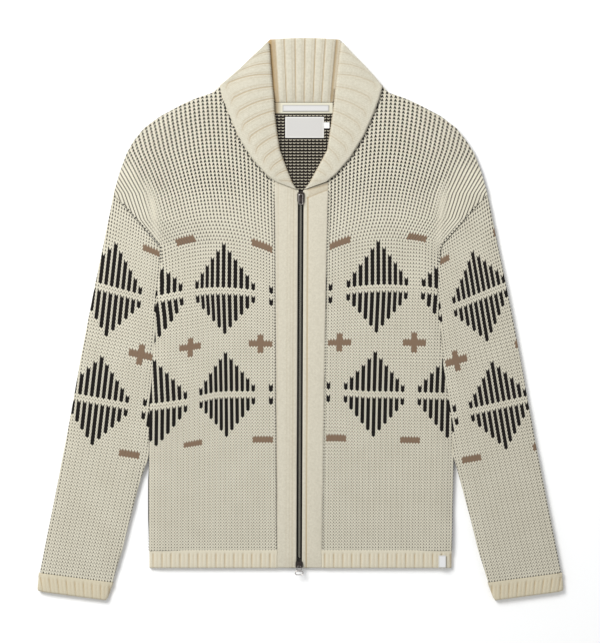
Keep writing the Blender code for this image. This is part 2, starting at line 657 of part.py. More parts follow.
def build_collar_back():
    """The collar behind the neck: its stand seen from inside, folded over at the top to the fall."""
    where, rise = rib_phases(STAND_RIBS)
    seam_left, seam_right = -34.6, 44.6
    roll_left, roll_right = -41.2, 53.4
    edge_left, edge_right = -111.0, 112.4
    top = STAND_HEIGHT
    stand = ((0.0, 3.4, 0), (5.0, 4.4, 0.5), (12.0, 6.8, 1), (20.0, 7.4, 1), (55.0, 7.4, 1),
             (top - 6.0, 7.4, 1), (top - 2.0, 6.7, 0.8), (top, 4.6, 0.3))
    turn = ((top, 2.2), (top - 2.5, 0.4), (top - 7.0, 0.0))
    inside = ((top - 7.0, 3.4), (top - 7.0, 3.8), (20.0, 3.8), (9.0, 1.6), (3.0, 0.0), (0.0, 0.0))
    loops = []
    for t, ribs in zip(where, rise):
        seam = np.array((seam_left + (seam_right - seam_left) * t, NECK_SEAM_Y + 0.5))
        roll_x = roll_left + (roll_right - roll_left) * t
        edge_x = edge_left + (edge_right - edge_left) * t
        crown = 1.2 * (1 - (2 * t - 1) ** 2)
        rise_line = np.array((roll_x, NECK_SEAM_Y + top - 0.67 + crown)) - seam
        edge_y = np.interp(abs(edge_x), (45.0, 112.0), (316.0, 321.2))
        edge = np.array((edge_x, edge_y))
        tip = seam + rise_line
        points = []
        for level, z, strength in stand:
            spot = seam + rise_line * (level / top)
            points.append((spot[0], spot[1], z + 0.9 * RIB_HEIGHT * ribs * strength))
        for level, z in turn:
            spot = tip + (edge - tip) * ((top - level) / np.linalg.norm(edge - tip))
            points.append((spot[0], spot[1], z))
        points.append((edge[0], edge[1], 0.0))
        points.append((edge[0], edge[1], 3.4))
        fall_top = tip + (edge - tip) * (7.0 / np.linalg.norm(edge - tip))
        points.append((fall_top[0], fall_top[1], inside[0][1]))
        for level, z in inside[1:]:
            spot = seam + rise_line * (level / top)
            points.append((spot[0], spot[1], z))
        loops.append(points)
    loops = np.array(loops)
    stations, around, _ = loops.shape
    faces = []
    for s in range(stations - 1):
        for k in range(around):
            after = (k + 1) % around
            a, b = s * around + k, s * around + after
            faces.append((a, b, b + around, a + around))
    stand_cap = (0, 1, 2, 3, 4, 5, 14, 15, 16, 17, 18)
    roll_cap = (5, 6, 7, 8, 13, 14)
    fall_cap = (8, 9, 10, 11, 12, 13)
    for first in (0, (stations - 1) * around):
        for cap in (stand_cap, roll_cap, fall_cap):
            faces.append(tuple(first + k for k in cap))
    make_object("collar_back", loops.reshape(-1, 3), faces, RIB_CREAM)


def patch(name, x0, x1, y0, y1, bottom, thick, finish):
    """A small flat piece of tape or label."""
    x, y = np.meshgrid(np.linspace(x0, x1, 4), np.linspace(y0, y1, 3))
    under = np.full_like(x, bottom)
    slab(name, x, y, under, under + thick, finish)


def build_labels():
    """Neck tape with a woven strip on it, a bare label, a size tab, and a side tag in the hem."""
    on_back = WALL + LAYER_GAP
    patch("neck_tape", -34.2, 43.6, 284.0, 297.6, on_back, 0.9, RIB_CREAM)
    patch("neck_strip", -24.6, 39.2, 286.6, 295.6, on_back + 0.9 + LAYER_GAP, 0.4, LABEL)
    patch("neck_label", -20.8, 32.2, 250.2, 279.2, on_back, 0.6, LABEL)
    patch("size_tab", 32.8, 40.0, 263.4, 271.6, on_back, 0.5, LABEL)
    hem_surface = FRONT_LEVEL + 0.6 + WALL + RIB_HEIGHT + LAYER_GAP
    patch("side_tag", 190.5, 200.5, -343.0, -326.0, hem_surface, 0.8, LABEL)


for old in list(bpy.data.objects):
    bpy.data.objects.remove(old)
garment_collection = bpy.data.collections.new("zip_cardigan")
cutter_collection = bpy.data.collections.new("joining_shapes")
bpy.context.scene.collection.children.link(garment_collection)
bpy.context.scene.collection.children.link(cutter_collection)

build_back()
build_hem_back()
for each_side in ("left", "right"):
    build_front(each_side)
    build_hem_front(each_side)
    build_placket(each_side)
    build_sleeve(each_side)
    build_cuff(each_side)
    build_collar_side(each_side)
build_collar_back()
build_labels()
build_zip()
upper_pivot = build_slider("slider_top", 167.6, 14.0, 4.0)
lower_pivot = build_slider("slider_bottom", -338.6, 8.6, -2.0)
build_pulls(upper_pivot, lower_pivot)
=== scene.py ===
"""The zip cardigan laid flat on a pale studio table, seen from straight above.

All sizes are metres in the part's own frame: +Y towards the collar, +X to the viewer's right,
+Z up from the table. "left" and "right" are the sides as seen from above.
"""

import math

import bmesh
import bpy
import numpy as np
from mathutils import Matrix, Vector
from mathutils.bvhtree import BVHTree


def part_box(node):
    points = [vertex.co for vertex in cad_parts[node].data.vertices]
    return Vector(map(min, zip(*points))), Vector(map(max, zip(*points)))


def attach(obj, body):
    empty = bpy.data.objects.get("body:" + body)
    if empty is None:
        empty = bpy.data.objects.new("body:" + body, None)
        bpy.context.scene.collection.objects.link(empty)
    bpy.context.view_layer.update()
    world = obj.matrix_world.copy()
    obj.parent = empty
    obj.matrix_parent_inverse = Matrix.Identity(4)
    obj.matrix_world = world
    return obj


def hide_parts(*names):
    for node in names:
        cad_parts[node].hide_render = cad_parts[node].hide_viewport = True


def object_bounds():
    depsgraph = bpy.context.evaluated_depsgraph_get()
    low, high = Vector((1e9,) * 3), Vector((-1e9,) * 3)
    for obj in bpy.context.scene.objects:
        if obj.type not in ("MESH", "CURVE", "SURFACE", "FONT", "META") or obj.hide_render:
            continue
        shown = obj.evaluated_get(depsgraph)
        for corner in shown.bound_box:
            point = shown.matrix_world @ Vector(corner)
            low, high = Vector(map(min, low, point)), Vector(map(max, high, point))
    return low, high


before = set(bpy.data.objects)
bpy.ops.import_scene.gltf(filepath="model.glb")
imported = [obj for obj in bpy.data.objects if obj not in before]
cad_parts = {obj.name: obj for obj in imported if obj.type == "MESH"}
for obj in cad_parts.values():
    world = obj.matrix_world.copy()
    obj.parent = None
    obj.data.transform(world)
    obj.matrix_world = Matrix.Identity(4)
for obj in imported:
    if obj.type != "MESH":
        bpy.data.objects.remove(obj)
cad_low, cad_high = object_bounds()


# The fronts: two panels of chunky two-colour jacquard knit, cut at the neck and sewn into the
# side, shoulder and armhole seams. The stitches are modelled one by one, as the V of each loop
# stands up from the cloth, and the diamonds are charted stitch by stitch.
MM = 0.001


def in_mm(*values):
    """A row of millimetres, in metres."""
    return np.array(values) * MM


def held(value):
    """A value kept between 0 and 1."""
    return np.clip(value, 0, 1)


def ridge(away, width):
    """A smooth ridge: 1 on its line and nearly 0 at twice its width away."""
    return np.exp(-(away / width) ** 2)


def read_points(mesh):
    """The vertices of a mesh as rows of x, y, z."""
    flat = np.empty(len(mesh.vertices) * 3)
    mesh.vertices.foreach_get("co", flat)
    return flat.reshape(-1, 3)


def solid_edges(node, levels):
    """The left and right edge of a solid in plan at each Y level."""
    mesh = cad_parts[node].data
    points = read_points(mesh)
    pairs = np.empty(len(mesh.edges) * 2, dtype=int)
    mesh.edges.foreach_get("vertices", pairs)
    a, b = points[pairs[0::2]], points[pairs[1::2]]
    run = np.where(np.abs(b[:, 1] - a[:, 1]) < 1e-9, 1e-9, b[:, 1] - a[:, 1])
    left, right = [], []
    for y in np.clip(levels, points[:, 1].min() + 2e-5, points[:, 1].max() - 2e-5):
        t = (y - a[:, 1]) / run
        x = (a[:, 0] + t * (b[:, 0] - a[:, 0]))[(t >= 0) & (t <= 1)]
        left.append(x.min())
        right.append(x.max())
    return np.array(left), np.array(right)


def solid_outline(node, step=0.004, ease_out=0.3 * MM):
    """The plan of a solid as a closed line, for one with a single width at each level."""
    low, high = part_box(node)
    levels = np.linspace(low.y, high.y, int((high.y - low.y) / step) + 2)
    left, right = solid_edges(node, levels)
    left, right = left - ease_out, right + ease_out
    down = np.column_stack((left, levels))[::-1]
    return np.vstack((np.column_stack((right, levels)), down))


def top_of(node, step=0.004, passes=6):
    """The height of a solid's upper side, made smooth, as a function of x and y."""
    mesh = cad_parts[node].data
    tree = BVHTree.FromPolygons([v.co for v in mesh.vertices], [p.vertices for p in mesh.polygons])
    low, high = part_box(node)
    xs = np.arange(low.x - 2 * step, high.x + 3 * step, step)
    ys = np.arange(low.y - 2 * step, high.y + 3 * step, step)
    z = np.full((len(ys), len(xs)), np.nan)
    for j, y in enumerate(ys):
        for i, x in enumerate(xs):
            hit = tree.ray_cast(Vector((x, y, 1.0)), Vector((0, 0, -1)))[0]
            if hit is not None:
                z[j, i] = hit.z
    while np.isnan(z).any():
        wide = np.pad(z, 1, constant_values=np.nan)
        around = np.stack((wide[1:-1, :-2], wide[1:-1, 2:], wide[:-2, 1:-1], wide[2:, 1:-1]))
        count = np.maximum((~np.isnan(around)).sum(0), 1)
        mean = np.where(np.isnan(around).all(0), np.nan, np.nansum(around, 0) / count)
        z = np.where(np.isnan(z), mean, z)
    for _ in range(passes):
        wide = np.pad(z, 1, mode="edge")
        z = (wide[1:-1, :-2] + 2 * wide[1:-1, 1:-1] + wide[1:-1, 2:]) / 4
        wide = np.pad(z, 1, mode="edge")
        z = (wide[:-2, 1:-1] + 2 * wide[1:-1, 1:-1] + wide[2:, 1:-1]) / 4

    def height(x, y):
        i = np.clip((x - xs[0]) / step, 0, len(xs) - 1.001)
        j = np.clip((y - ys[0]) / step, 0, len(ys) - 1.001)
        i0, j0 = i.astype(int), j.astype(int)
        fx, fy = i - i0, j - j0
        lower = z[j0, i0] * (1 - fx) + z[j0, i0 + 1] * fx
        upper = z[j0 + 1, i0] * (1 - fx) + z[j0 + 1, i0 + 1] * fx
        return lower * (1 - fy) + upper * fy

    return height


def to_outline(x, y, outline):
    """For each point: how far inside a closed line it is, less than 0 outside, and the nearest
    point of the line."""
    a = outline
    d = np.roll(outline, -1, axis=0) - a
    length2 = np.maximum((d * d).sum(1), 1e-12)
    signed, near = np.empty(len(x)), np.empty((len(x), 2))
    for start in range(0, len(x), 4000):
        p = np.column_stack((x[start:start + 4000], y[start:start + 4000]))
        away = p[:, None, :] - a[None, :, :]
        t = held((away * d).sum(2) / length2)
        foot = a + t[:, :, None] * d
        gap = ((p[:, None, :] - foot) ** 2).sum(2)
        best = gap.argmin(1)
        rows = np.arange(len(p))
        above = a[None, :, 1] > p[:, 1, None]
        crosses = above != np.roll(above, -1, axis=1)
        safe = np.where(np.abs(d[:, 1]) < 1e-12, 1e-12, d[:, 1])
        x_cross = a[:, 0] + (p[:, 1, None] - a[:, 1]) / safe * d[:, 0]
        inside = (crosses & (p[:, 0, None] < x_cross)).sum(1) % 2 == 1
        near[start:start + 4000] = foot[rows, best]
        signed[start:start + 4000] = np.where(inside, 1, -1) * np.sqrt(gap[rows, best])
    return signed, near


def hold_inside(x, y, outline):
    """The distance inside a closed line, with the points beyond it moved onto the line."""
    inside, near = to_outline(x, y, outline)
    return inside, np.where(inside < 0, near[:, 0], x), np.where(inside < 0, near[:, 1], y)


def way_inward(at, outline):
    """For each point, the direction in plan that leads away from a closed line."""
    step = 1.5 * MM
    ahead, behind, above, below = (to_outline(at[:, 0] + dx, at[:, 1] + dy, outline)[0]
                                   for dx, dy in ((step, 0), (-step, 0), (0, step), (0, -step)))
    way = np.column_stack((ahead - behind, above - below))
    return way / np.maximum(np.hypot(*way.T), 1e-9)[:, None]


def new_grid(name, columns, rows):
    """A flat square grid, 2 m wide, to be laid out as cloth."""
    bpy.ops.object.select_all(action="DESELECT")
    bpy.ops.mesh.primitive_grid_add(x_subdivisions=columns, y_subdivisions=rows, size=2,
                                    calc_uvs=True)
    piece = bpy.context.object
    piece.name = piece.data.name = name
    return piece


def stitch_grid(name, wales, courses, columns=4, rows=3):
    """A flat grid with so many faces to a stitch, and each vertex's place counted in stitches."""
    piece = new_grid(name, wales * columns, courses * rows)
    points = read_points(piece.data)
    u = (points[:, 0] + 1) / 2 * wales
    v = (points[:, 1] + 1) / 2 * courses
    layer = piece.data.uv_layers[0].data
    corners = np.empty(len(layer) * 2)
    layer.foreach_get("uv", corners)
    corners[0::2] *= wales
    corners[1::2] *= courses
    layer.foreach_set("uv", corners)
    return piece, u, v


def mark_faces(piece, wales, courses, chart):
    """Writes each stitch's yarn on its faces: 0 ground, 1 black, 2 taupe."""
    mesh = piece.data
    centres = np.empty(len(mesh.polygons) * 3)
    mesh.polygons.foreach_get("center", centres)
    u = np.floor((centres[0::3] + 1) / 2 * wales).astype(int)
    v = np.floor((centres[1::3] + 1) / 2 * courses).astype(int)
    yarn = mesh.attributes.new("yarn", "FLOAT", "FACE")
    yarn.data.foreach_set("value", chart(u, v).astype(np.float32))


def loop_rise(u, v, height=0.55 * MM):
    """How far a stitch's two legs stand up: high along each leg, low between wales and courses."""
    across = np.abs(np.sin(2 * math.pi * u))
    along = np.abs(np.sin(math.pi * v))
    return height * (across * (0.55 + 0.45 * along) - 0.45)


def chevron(u, course):
    """Each course dips to the middle of the wale, which gives the stitches their V."""
    return course * 0.42 * (np.abs(2 * (u - np.floor(u)) - 1) - 0.5) * 2


def sway(u, v, width):
    """The borders of each wale swing in and out once a course, as the loops' shoulders overlap."""
    at_border = held(1 - 4 * np.abs(u - np.round(u)))
    return width * 0.13 * at_border * np.cos(math.pi * np.round(u)) * np.cos(2 * math.pi * v)


def swell(u, v, chart):
    """The black wales stand over their cream neighbours: how far each border shifts, in wales."""
    border = np.round(u).astype(int)
    total = np.zeros_like(u)
    for row in (np.floor(v - 0.01), np.floor(v + 0.01)):
        before = chart(border - 1, row.astype(int)) == 1
        after = chart(border, row.astype(int)) == 1
        total += (before.astype(float) - after.astype(float)) / 2
    return 0.18 * total * (np.abs(u - border) < 0.01)


def place(piece, x, y, z):
    """Puts the vertices where they belong."""
    piece.data.vertices.foreach_set("co", np.column_stack((x, y, z)).astype(np.float32).ravel())
    piece.data.update()


def add_values(piece, name, values):
    """Writes a value from 0 to 1 on each vertex: "grin" is how strongly the black yarn shows
    between the stitches, "pulled" how far the cloth's pull joins those dots into lines, and
    "groove" how much painted shade a groove, fold or shaded edge takes, and on a label how much
    of its border colour."""
    layer = piece.data.attributes.new(name, "FLOAT", "POINT")
    layer.data.foreach_set("value", held(values).astype(np.float32))


def write_uv(piece, across, up):
    """Gives each corner the two values of its vertex as its place in the UV map."""
    corners = np.empty(len(piece.data.loops), dtype=int)
    piece.data.loops.foreach_get("vertex_index", corners)
    uv = np.column_stack((across[corners], up[corners]))
    piece.data.uv_layers[0].data.foreach_set("uv", uv.ravel())


def fill_loops(bm, steps):
    """Closes each loop that the steps from corner to corner make, with one face cut into
    triangles. Where a walk comes back to a corner it has passed, it closes that loop first."""
    follow = {}
    for one, two in steps:
        follow.setdefault(one, []).append(two)
    filled = []
    for start in follow:
        path, seen = [start], {start: 0}
        while follow[path[-1]]:
            corner = follow[path[-1]].pop()
            if corner not in seen:
                seen[corner] = len(path)
                path.append(corner)
                continue
            loop = path[seen[corner]:]
            if len(loop) > 2:
                filled.append(bm.faces.new(loop))
            for passed in loop[1:]:
                del seen[passed]
            del path[seen[corner] + 1:]
    bmesh.ops.triangulate(bm, faces=filled, quad_method="BEAUTY", ngon_method="EAR_CLIP")


def close_rim(bm, turns, outline=None):
    """Carries the open rim inward and down by steps of (inset, level) and fills what is left."""
    loops = [e.link_loops[0] for e in bm.edges if e.is_boundary]
    pairs = [(loop.link_loop_next.vert, loop.vert) for loop in loops]
    ring = {v: v for pair in pairs for v in pair}
    inward = dict.fromkeys(ring, (0.0, 0.0))
    if outline is not None:
        inward = dict(zip(ring, way_inward(np.array([v.co[:2] for v in ring]), outline)))
    for inset, level in turns:
        lower = {}
        for v, above in ring.items():
            dx, dy = inward[v]
            lower[v] = bm.verts.new((above.co.x + dx * inset, above.co.y + dy * inset, level))
        for one, two in pairs:
            bm.faces.new((ring[one], ring[two], lower[two], lower[one]))
        ring = lower
    fill_loops(bm, [(ring[one], ring[two]) for one, two in pairs])


def trim_and_close(piece, keep, turns, outline=None):
    """Drops the faces wholly outside the cloth's edge, then closes the piece below."""
    bm = bmesh.new()
    bm.from_mesh(piece.data)
    bm.normal_update()
    if sum(f.normal.z * f.calc_area() for f in bm.faces) < 0:
        bmesh.ops.reverse_faces(bm, faces=bm.faces)
    bm.verts.ensure_lookup_table()
    beyond = [f for f in bm.faces if not any(keep[v.index] for v in f.verts)]
    bmesh.ops.delete(bm, geom=beyond, context="FACES")
    bmesh.ops.remove_doubles(bm, verts=bm.verts, dist=3e-5)
    bmesh.ops.dissolve_degenerate(bm, dist=1e-5, edges=bm.edges)
    close_rim(bm, turns, outline)
    for f in bm.faces:
        f.smooth = True
    bm.to_mesh(piece.data)
    bm.free()
    piece.data.update()


# Where each course lies on the line of its crest, and how far a wale's 41st step reaches
COURSE_AT = (0, 37, 50, 63, 69, 82, 95, 145)
COURSE_Y = in_mm(-320.4, -162.0, -104.2, -46.5, -20.1, 38.9, 103.9, 350.5)
SPAN_Y = in_mm(-320, -105, -46, 40, 104, 136.6, 172.5, 205, 233, 274, 320)
SPAN = in_mm(160, 162.5, 164, 169, 166, 190, 202, 222, 240, 256, 266)
SPREAD_Y = in_mm(172.5, 205, 233, 274)
SPREAD = (1.0, 0.94, 0.89, 0.86)
ARCH_Y = in_mm(-110, -36, 40, 102, 247)
ARCH = in_mm(0, 0.7, 9.0, 19.3, 26.2)
CREST_X = 118 * MM
HEM_Y, NECK_Y = -320 * MM, 160 * MM
ZIP_X, ZIP_TOP = 0.5 * MM, 0.177
ZIP_LEAN = 2.4 / 524
FRONT_WALES = 46
FRONT_COURSES = 145
FRONT_WALE, FRONT_COURSE = 4.0 * MM, 4.4 * MM
# The motif repeats over so many wales. Its diamonds start at this course of a front
MOTIF_WALES = 26
FRONT_MOTIF = 37
# How far past the cloth's edge a stitch may reach before it is left out
OVERHANG = 2.4 * MM


def area_of(outline):
    """The area inside a closed line."""
    x, y = outline.T
    return abs(float(np.dot(x, np.roll(y, -1)) - np.dot(y, np.roll(x, -1)))) / 2


def lay_cloth(piece, node, flat=None, layers=1, rests_on=("back_panel",)):
    """Works out a piece of cloth's flat cut, width and length, all round on a tube, and its area,
    but keeps neither. The smallest labels are cut 10 mm wide, with their edges turned under."""
    low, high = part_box(node)
    if flat is None:
        flat = (max(layers * (high.x - low.x), 10 * MM), max(high.y - low.y, 10 * MM))
    layers * area_of(solid_outline(node, 0.002, 0.0))


def finish_cloth(piece, node, slot, **cut):
    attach(piece, "garment")
    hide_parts(node)
    lay_cloth(piece, node, **cut)


def linear(hex_colour):
    """An sRGB hex colour as linear RGBA."""
    parts = [int(hex_colour[i:i + 2], 16) / 255 for i in (1, 3, 5)]
    return [c / 12.92 if c <= 0.04045 else ((c + 0.055) / 1.055) ** 2.4 for c in parts] + [1.0]


def add_node(tree, kind, links=(), **settings):
    """Adds a node, sets its properties and input values, and links its inputs."""
    node = tree.nodes.new("ShaderNode" + kind)
    for key, value in settings.items():
        if key.startswith("in_"):
            node.inputs[int(key[3:])].default_value = value
        else:
            setattr(node, key, value)
    link_inputs(node, dict(links))
    return node


def link_inputs(node, links):
    """Links each input to a socket, or to the first socket of a node."""
    for socket, source in links.items():
        if isinstance(source, bpy.types.Node):
            source = source.outputs[0]
        node.id_data.links.new(source, node.inputs[socket])


def new_material(name, settings):
    """A material with some inputs of its shader set, along with its node tree and shader."""
    made = bpy.data.materials.new(name)
    made.use_nodes = True
    shader = made.node_tree.nodes["Principled BSDF"]
    for socket, value in settings.items():
        shader.inputs[socket].default_value = value
    return made, made.node_tree, shader


def off_middle(tree, source):
    """How far a count is from halfway between two whole numbers."""
    part = add_node(tree, "Math", {0: source}, operation="FRACT")
    centred = add_node(tree, "Math", {0: part}, operation="SUBTRACT", in_1=0.5)
    return add_node(tree, "Math", {0: centred}, operation="ABSOLUTE")


def uneven_colour(tree, place_in_piece, scale, detail, low_colour, high_colour):
    """The noise that makes a colour waver between two, and the colour."""
    noise = add_node(tree, "TexNoise", {0: place_in_piece}, in_2=scale, in_3=detail)
    return noise, add_node(tree, "Mix", {0: noise}, data_type="RGBA", in_6=linear(low_colour),
                           in_7=linear(high_colour)).outputs[2]


BLACK_YARN = "#120E0C"


def knit_material():
    """Chunky wool knit: cream, black and taupe yarn by the chart, with the black carried behind
    grinning through as small dots between the stitches."""
    made, tree, shader = new_material("two-colour wool jacquard", {
        "Roughness": 0.92, "Sheen Weight": 0.12, "Sheen Roughness": 0.5,
        "Specular IOR Level": 0.2})
    parts = add_node(tree, "SeparateXYZ", {0: add_node(tree, "UVMap", uv_map="UVMap")})
    grin = add_node(tree, "Attribute", attribute_name="grin").outputs["Fac"]
    extra = add_node(tree, "MapRange", {0: grin}, in_1=0.68, in_2=1.0, in_3=0.0, in_4=0.75)
    halfway = add_node(tree, "MapRange", {0: grin}, in_1=0.6, in_2=0.85, in_3=1.0, in_4=0.06)
    spots, columns = [], []
    for shift_u, shift_v, weight in ((0.0, 0.0, 1.0), (0.5, 0.12, 0.75)):
        away = []
        for axis, shift, reach in ((0, shift_u, 0.25), (1, shift_v, 0.30)):
            moved = add_node(tree, "Math", {0: parts.outputs[axis]}, operation="ADD",
                             in_1=0.5 - shift)
            scaled = add_node(tree, "Math", {0: off_middle(tree, moved)}, operation="DIVIDE",
                              in_1=reach)
            away.append(add_node(tree, "Math", {0: scaled}, operation="POWER", in_1=2.0))
        radius = add_node(tree, "Math", {0: away[0], 1: away[1]}, operation="ADD")
        grown = add_node(tree, "Math", {0: radius, 1: extra}, operation="SUBTRACT")
        spots.append(add_node(tree, "MapRange", {0: grown}, interpolation_type="SMOOTHSTEP",
                              in_1=1.15, in_2=0.2, in_4=weight))
        columns.append(away[0])
    second = add_node(tree, "Math", {0: spots[1], 1: halfway}, operation="MULTIPLY")
    both = add_node(tree, "Math", {0: spots[0], 1: second}, operation="MAXIMUM")
    line = add_node(tree, "MapRange", {0: columns[0]}, interpolation_type="SMOOTHSTEP",
                    in_1=0.42, in_2=0.05)
    pulled = add_node(tree, "Attribute", attribute_name="pulled").outputs["Fac"]
    drawn = add_node(tree, "Mix", {0: pulled, 2: both, 3: line})
    strength = add_node(tree, "Math", {0: grin}, operation="POWER", in_1=0.5)
    shown = add_node(tree, "Math", {0: drawn, 1: strength}, operation="MULTIPLY")
    yarn = add_node(tree, "Attribute", attribute_name="yarn").outputs["Fac"]
    is_black, is_taupe = (add_node(tree, "Math", {0: yarn}, operation="COMPARE", in_1=number,
                                   in_2=0.4) for number in (1.0, 2.0))
    in_cloth = add_node(tree, "TexCoord").outputs["Object"]
    colour = uneven_colour(tree, in_cloth, 38.0, 3.0, "#C7C1AE", "#D3CEBC")[1]
    for share, second_colour in ((shown, "#1C1612"), (is_black, BLACK_YARN),
                                 (is_taupe, "#7A6552")):
        colour = add_node(tree, "Mix", {0: share, 6: colour}, data_type="RGBA",
                          in_7=linear(second_colour)).outputs[2]
    fibre = add_node(tree, "TexNoise", {0: in_cloth}, in_2=1400.0, in_3=2.0)
    bump = add_node(tree, "Bump", {"Height": fibre}, in_0=0.25, in_1=0.0003)
    link_inputs(shader, {"Base Color": colour, "Normal": bump})
    return made


wool = knit_material()


# How the lower half of the left front lies: wales drawn in from the side seam, courses pulled
# down towards it. The right front lies almost straight.
DRAWN_U = (0.0, 1.5, 7.5, 17.5, 27.5, 33.5, 43.5)
DRAWN_X = in_mm(0.0, 1.6, 2.0, -0.3, -5.6, -8.0, -7.5)
DRAWN_V = (0, 35, 50, 66, 75, 82)
DRAWN_SHARE = (0.3, 0.75, 1.0, 0.78, 0.3, 0.0)
PULLED_X = in_mm(100, 118, 137, 158, 181, 200)
PULLED_DOWN = in_mm(0.0, 1.2, 5.6, 10.9, 14.4, 17.0)
PULLED_V = (0, 30, 35, 40, 50, 58, 66, 71, 76, 80, 86)
PULLED_SHARE = (0.0, 0.5, 0.62, 0.95, 1.0, 0.7, 0.52, 0.58, 0.42, 0.2, 0.0)
LAID_ASKEW = {-1: 1.0, 1: 0.12}
# Below each armhole the cloth is pinched in towards the zip, and the right front lies higher
PINCHED_U = (17, 21, 23, 25, 27, 33, 37, 39, 41)
PINCHED_X = {-1: in_mm(0, -0.8, -2.0, -3.3, -4.7, -6.9, -6.9, -6.2, -5.2),
             1: in_mm(0.6, 0, -0.4, -1.2, -2.0, -3.0, -1.9, -1.6, -1.5)}
PINCHED_V = (64, 70, 76, 86, 92, 98, 106)
PINCHED_SHARE = (0.0, 0.6, 1.0, 1.0, 0.7, 0.15, 0.0)
LIFTED_V = (30, 40, 58, 66, 69, 76, 84, 94, 100, 115)
LIFTED_Y = in_mm(0, 3.5, 3.2, 1.5, 1.8, 3.0, 3.8, 4.0, 3.0, 0)
LIFTED_SIDE_V = (66, 70, 82, 92, 98, 108)
LIFTED_SIDE_Y = in_mm(0, 2.4, 2.2, 4.2, 1.6, 0)


def front_place(u, v, inner_x):
    """Where a stitch of a front lies: out from the zip and up from the hem."""
    crest = np.interp(v, COURSE_AT, COURSE_Y)
    y = crest.copy()
    for _ in range(24):
        a = np.interp(y, SPREAD_Y, SPREAD)
        t = u / 41
        x = inner_x(y) + np.interp(y, SPAN_Y, SPAN) * (a * t + (1 - a) * t * t)
        off = np.abs(x - CREST_X) / (82.8 * MM)
        drop = np.where(off < 1, off * off, 2 * off - 1)
        y = 0.5 * y + 0.5 * (crest - np.interp(crest, ARCH_Y, ARCH) * drop)
    return x, y


def diamonds(step, v, low):
    """True on the barred diamonds: bars on every second wale, two rows of diamonds."""
    tall = np.where((step % 2 == 0) & (np.abs(step) <= 10), 12 - np.abs(step), 0)
    row = np.mod(v - low, 32)
    lower = (row < 12) & (12 - row <= tall)
    upper = (row >= 14) & (row < 26) & (row - 13 <= tall)
    return (v >= low) & (v < low + 58) & (lower | upper)


def taupe_marks(between, v, low):
    """True on the dashes above and below the diamonds and the crosses halfway up them."""
    dash = np.isin(v, (low - 2, low - 1, low + 59, low + 60)) & ((between < 4) | (between >= 23))
    arm = np.isin(v, (low + 28, low + 29)) & ((between < 5) | (between >= 23))
    upright = (v >= low + 26) & (v < low + 32) & (between < 2)
    return dash | arm | upright


def motif(step, v, low):
    """The yarn of each stitch: 1 on the diamonds, 2 on the taupe marks and 0 elsewhere. step
    counts wales from the middle of a diamond, and low is the diamonds' first course."""
    half = MOTIF_WALES // 2
    bars = diamonds(np.mod(step + half, MOTIF_WALES) - half, v, low)
    marks = taupe_marks(np.mod(step - half, MOTIF_WALES), v, low)
    return np.where(bars, 1, np.where(marks, 2, 0))


def front_chart(u, v):
    """The yarn of each stitch of a front, counted out from the zip and up from the hem."""
    return motif(u - 17, v, FRONT_MOTIF)


# How strongly the black shows by height, and the smooth trough that runs in from each armhole
GRIN_Y = in_mm(-320, -100, 20, 80, 125, 165, 185, 330)
PULL_LOW, PULL_HIGH = 100 * MM, 222 * MM
GRIN = (0.60, 0.58, 0.62, 0.72, 0.80, 0.92, 1.0, 1.0)
TROUGH_LOW, TROUGH_HIGH = 90 * MM, 195 * MM
TROUGH_Y = in_mm(90, 125, 160, 190, 205)
TROUGH_X = {
    -1: in_mm(197, 200, 204, 212, 220),
    1: in_mm(190, 192, 195, 199, 204),
}


def make_front(node, side):
    """One front panel, built on its solid. side is -1 for the left and 1 for the right."""
    outline = solid_outline(node, ease_out=1.2 * MM)
    levels = np.linspace(HEM_Y, NECK_Y, 25)
    inner_line = solid_edges(node, levels)[0 if side > 0 else 1]

    def inner_x(y):
        return np.interp(y, levels, np.abs(inner_line))

    piece, u, v = stitch_grid(node + "_knit", FRONT_WALES, FRONT_COURSES)
    mark_faces(piece, FRONT_WALES, FRONT_COURSES, front_chart)
    across, y = front_place(u + swell(u, v, front_chart), v, inner_x)
    askew = LAID_ASKEW[side]
    across += askew * np.interp(u, DRAWN_U, DRAWN_X) * np.interp(v, DRAWN_V, DRAWN_SHARE)
    y -= askew * np.interp(across, PULLED_X, PULLED_DOWN) * np.interp(v, PULLED_V, PULLED_SHARE)
    across += np.interp(u, PINCHED_U, PINCHED_X[side]) * np.interp(v, PINCHED_V, PINCHED_SHARE)
    if side > 0:
        lifted = np.maximum(held(1.5 - u / 10), held((v - 60) / 6))
        y += np.interp(v, LIFTED_V, LIFTED_Y) * lifted
        y += np.interp(v, LIFTED_SIDE_V, LIFTED_SIDE_Y) * np.interp(u, (27, 33, 39), (0, 0.8, 1))
    across += sway(u, v, FRONT_WALE)
    y += chevron(u, FRONT_COURSE)
    x = side * across
    inside, x, y = hold_inside(x, y, outline)
    over = np.clip(-inside, 0, OVERHANG)
    z = top_of(node)(x, y) + loop_rise(u, v) * held(inside / (2 * MM) + 1) - 0.4 * over
    place(piece, x, y, z)
    edge = np.exp(-held(inside) / (6 * MM))
    grin = np.interp(y, GRIN_Y, GRIN) + 0.25 * edge
    trough_x = np.interp(y, TROUGH_Y, TROUGH_X[side])
    in_trough = ridge(np.abs(x) - trough_x, 6 * MM)
    in_trough *= held((y - TROUGH_LOW) / (20 * MM)) * held((TROUGH_HIGH - y) / (30 * MM))
    add_values(piece, "grin", grin * (1 - 0.96 * in_trough))
    beyond = (np.abs(x) - trough_x) / MM
    pulled = held((beyond - 2) / 10) * held((y - PULL_LOW) / (30 * MM))
    add_values(piece, "pulled", pulled * held((PULL_HIGH - y) / (20 * MM)))
    trim_and_close(piece, -inside < OVERHANG, [(0.0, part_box(node)[0].z)])
    piece.data.materials.append(wool)
    finish_cloth(piece, node, "main_knit")


make_front("front_left", -1)
make_front("front_right", 1)


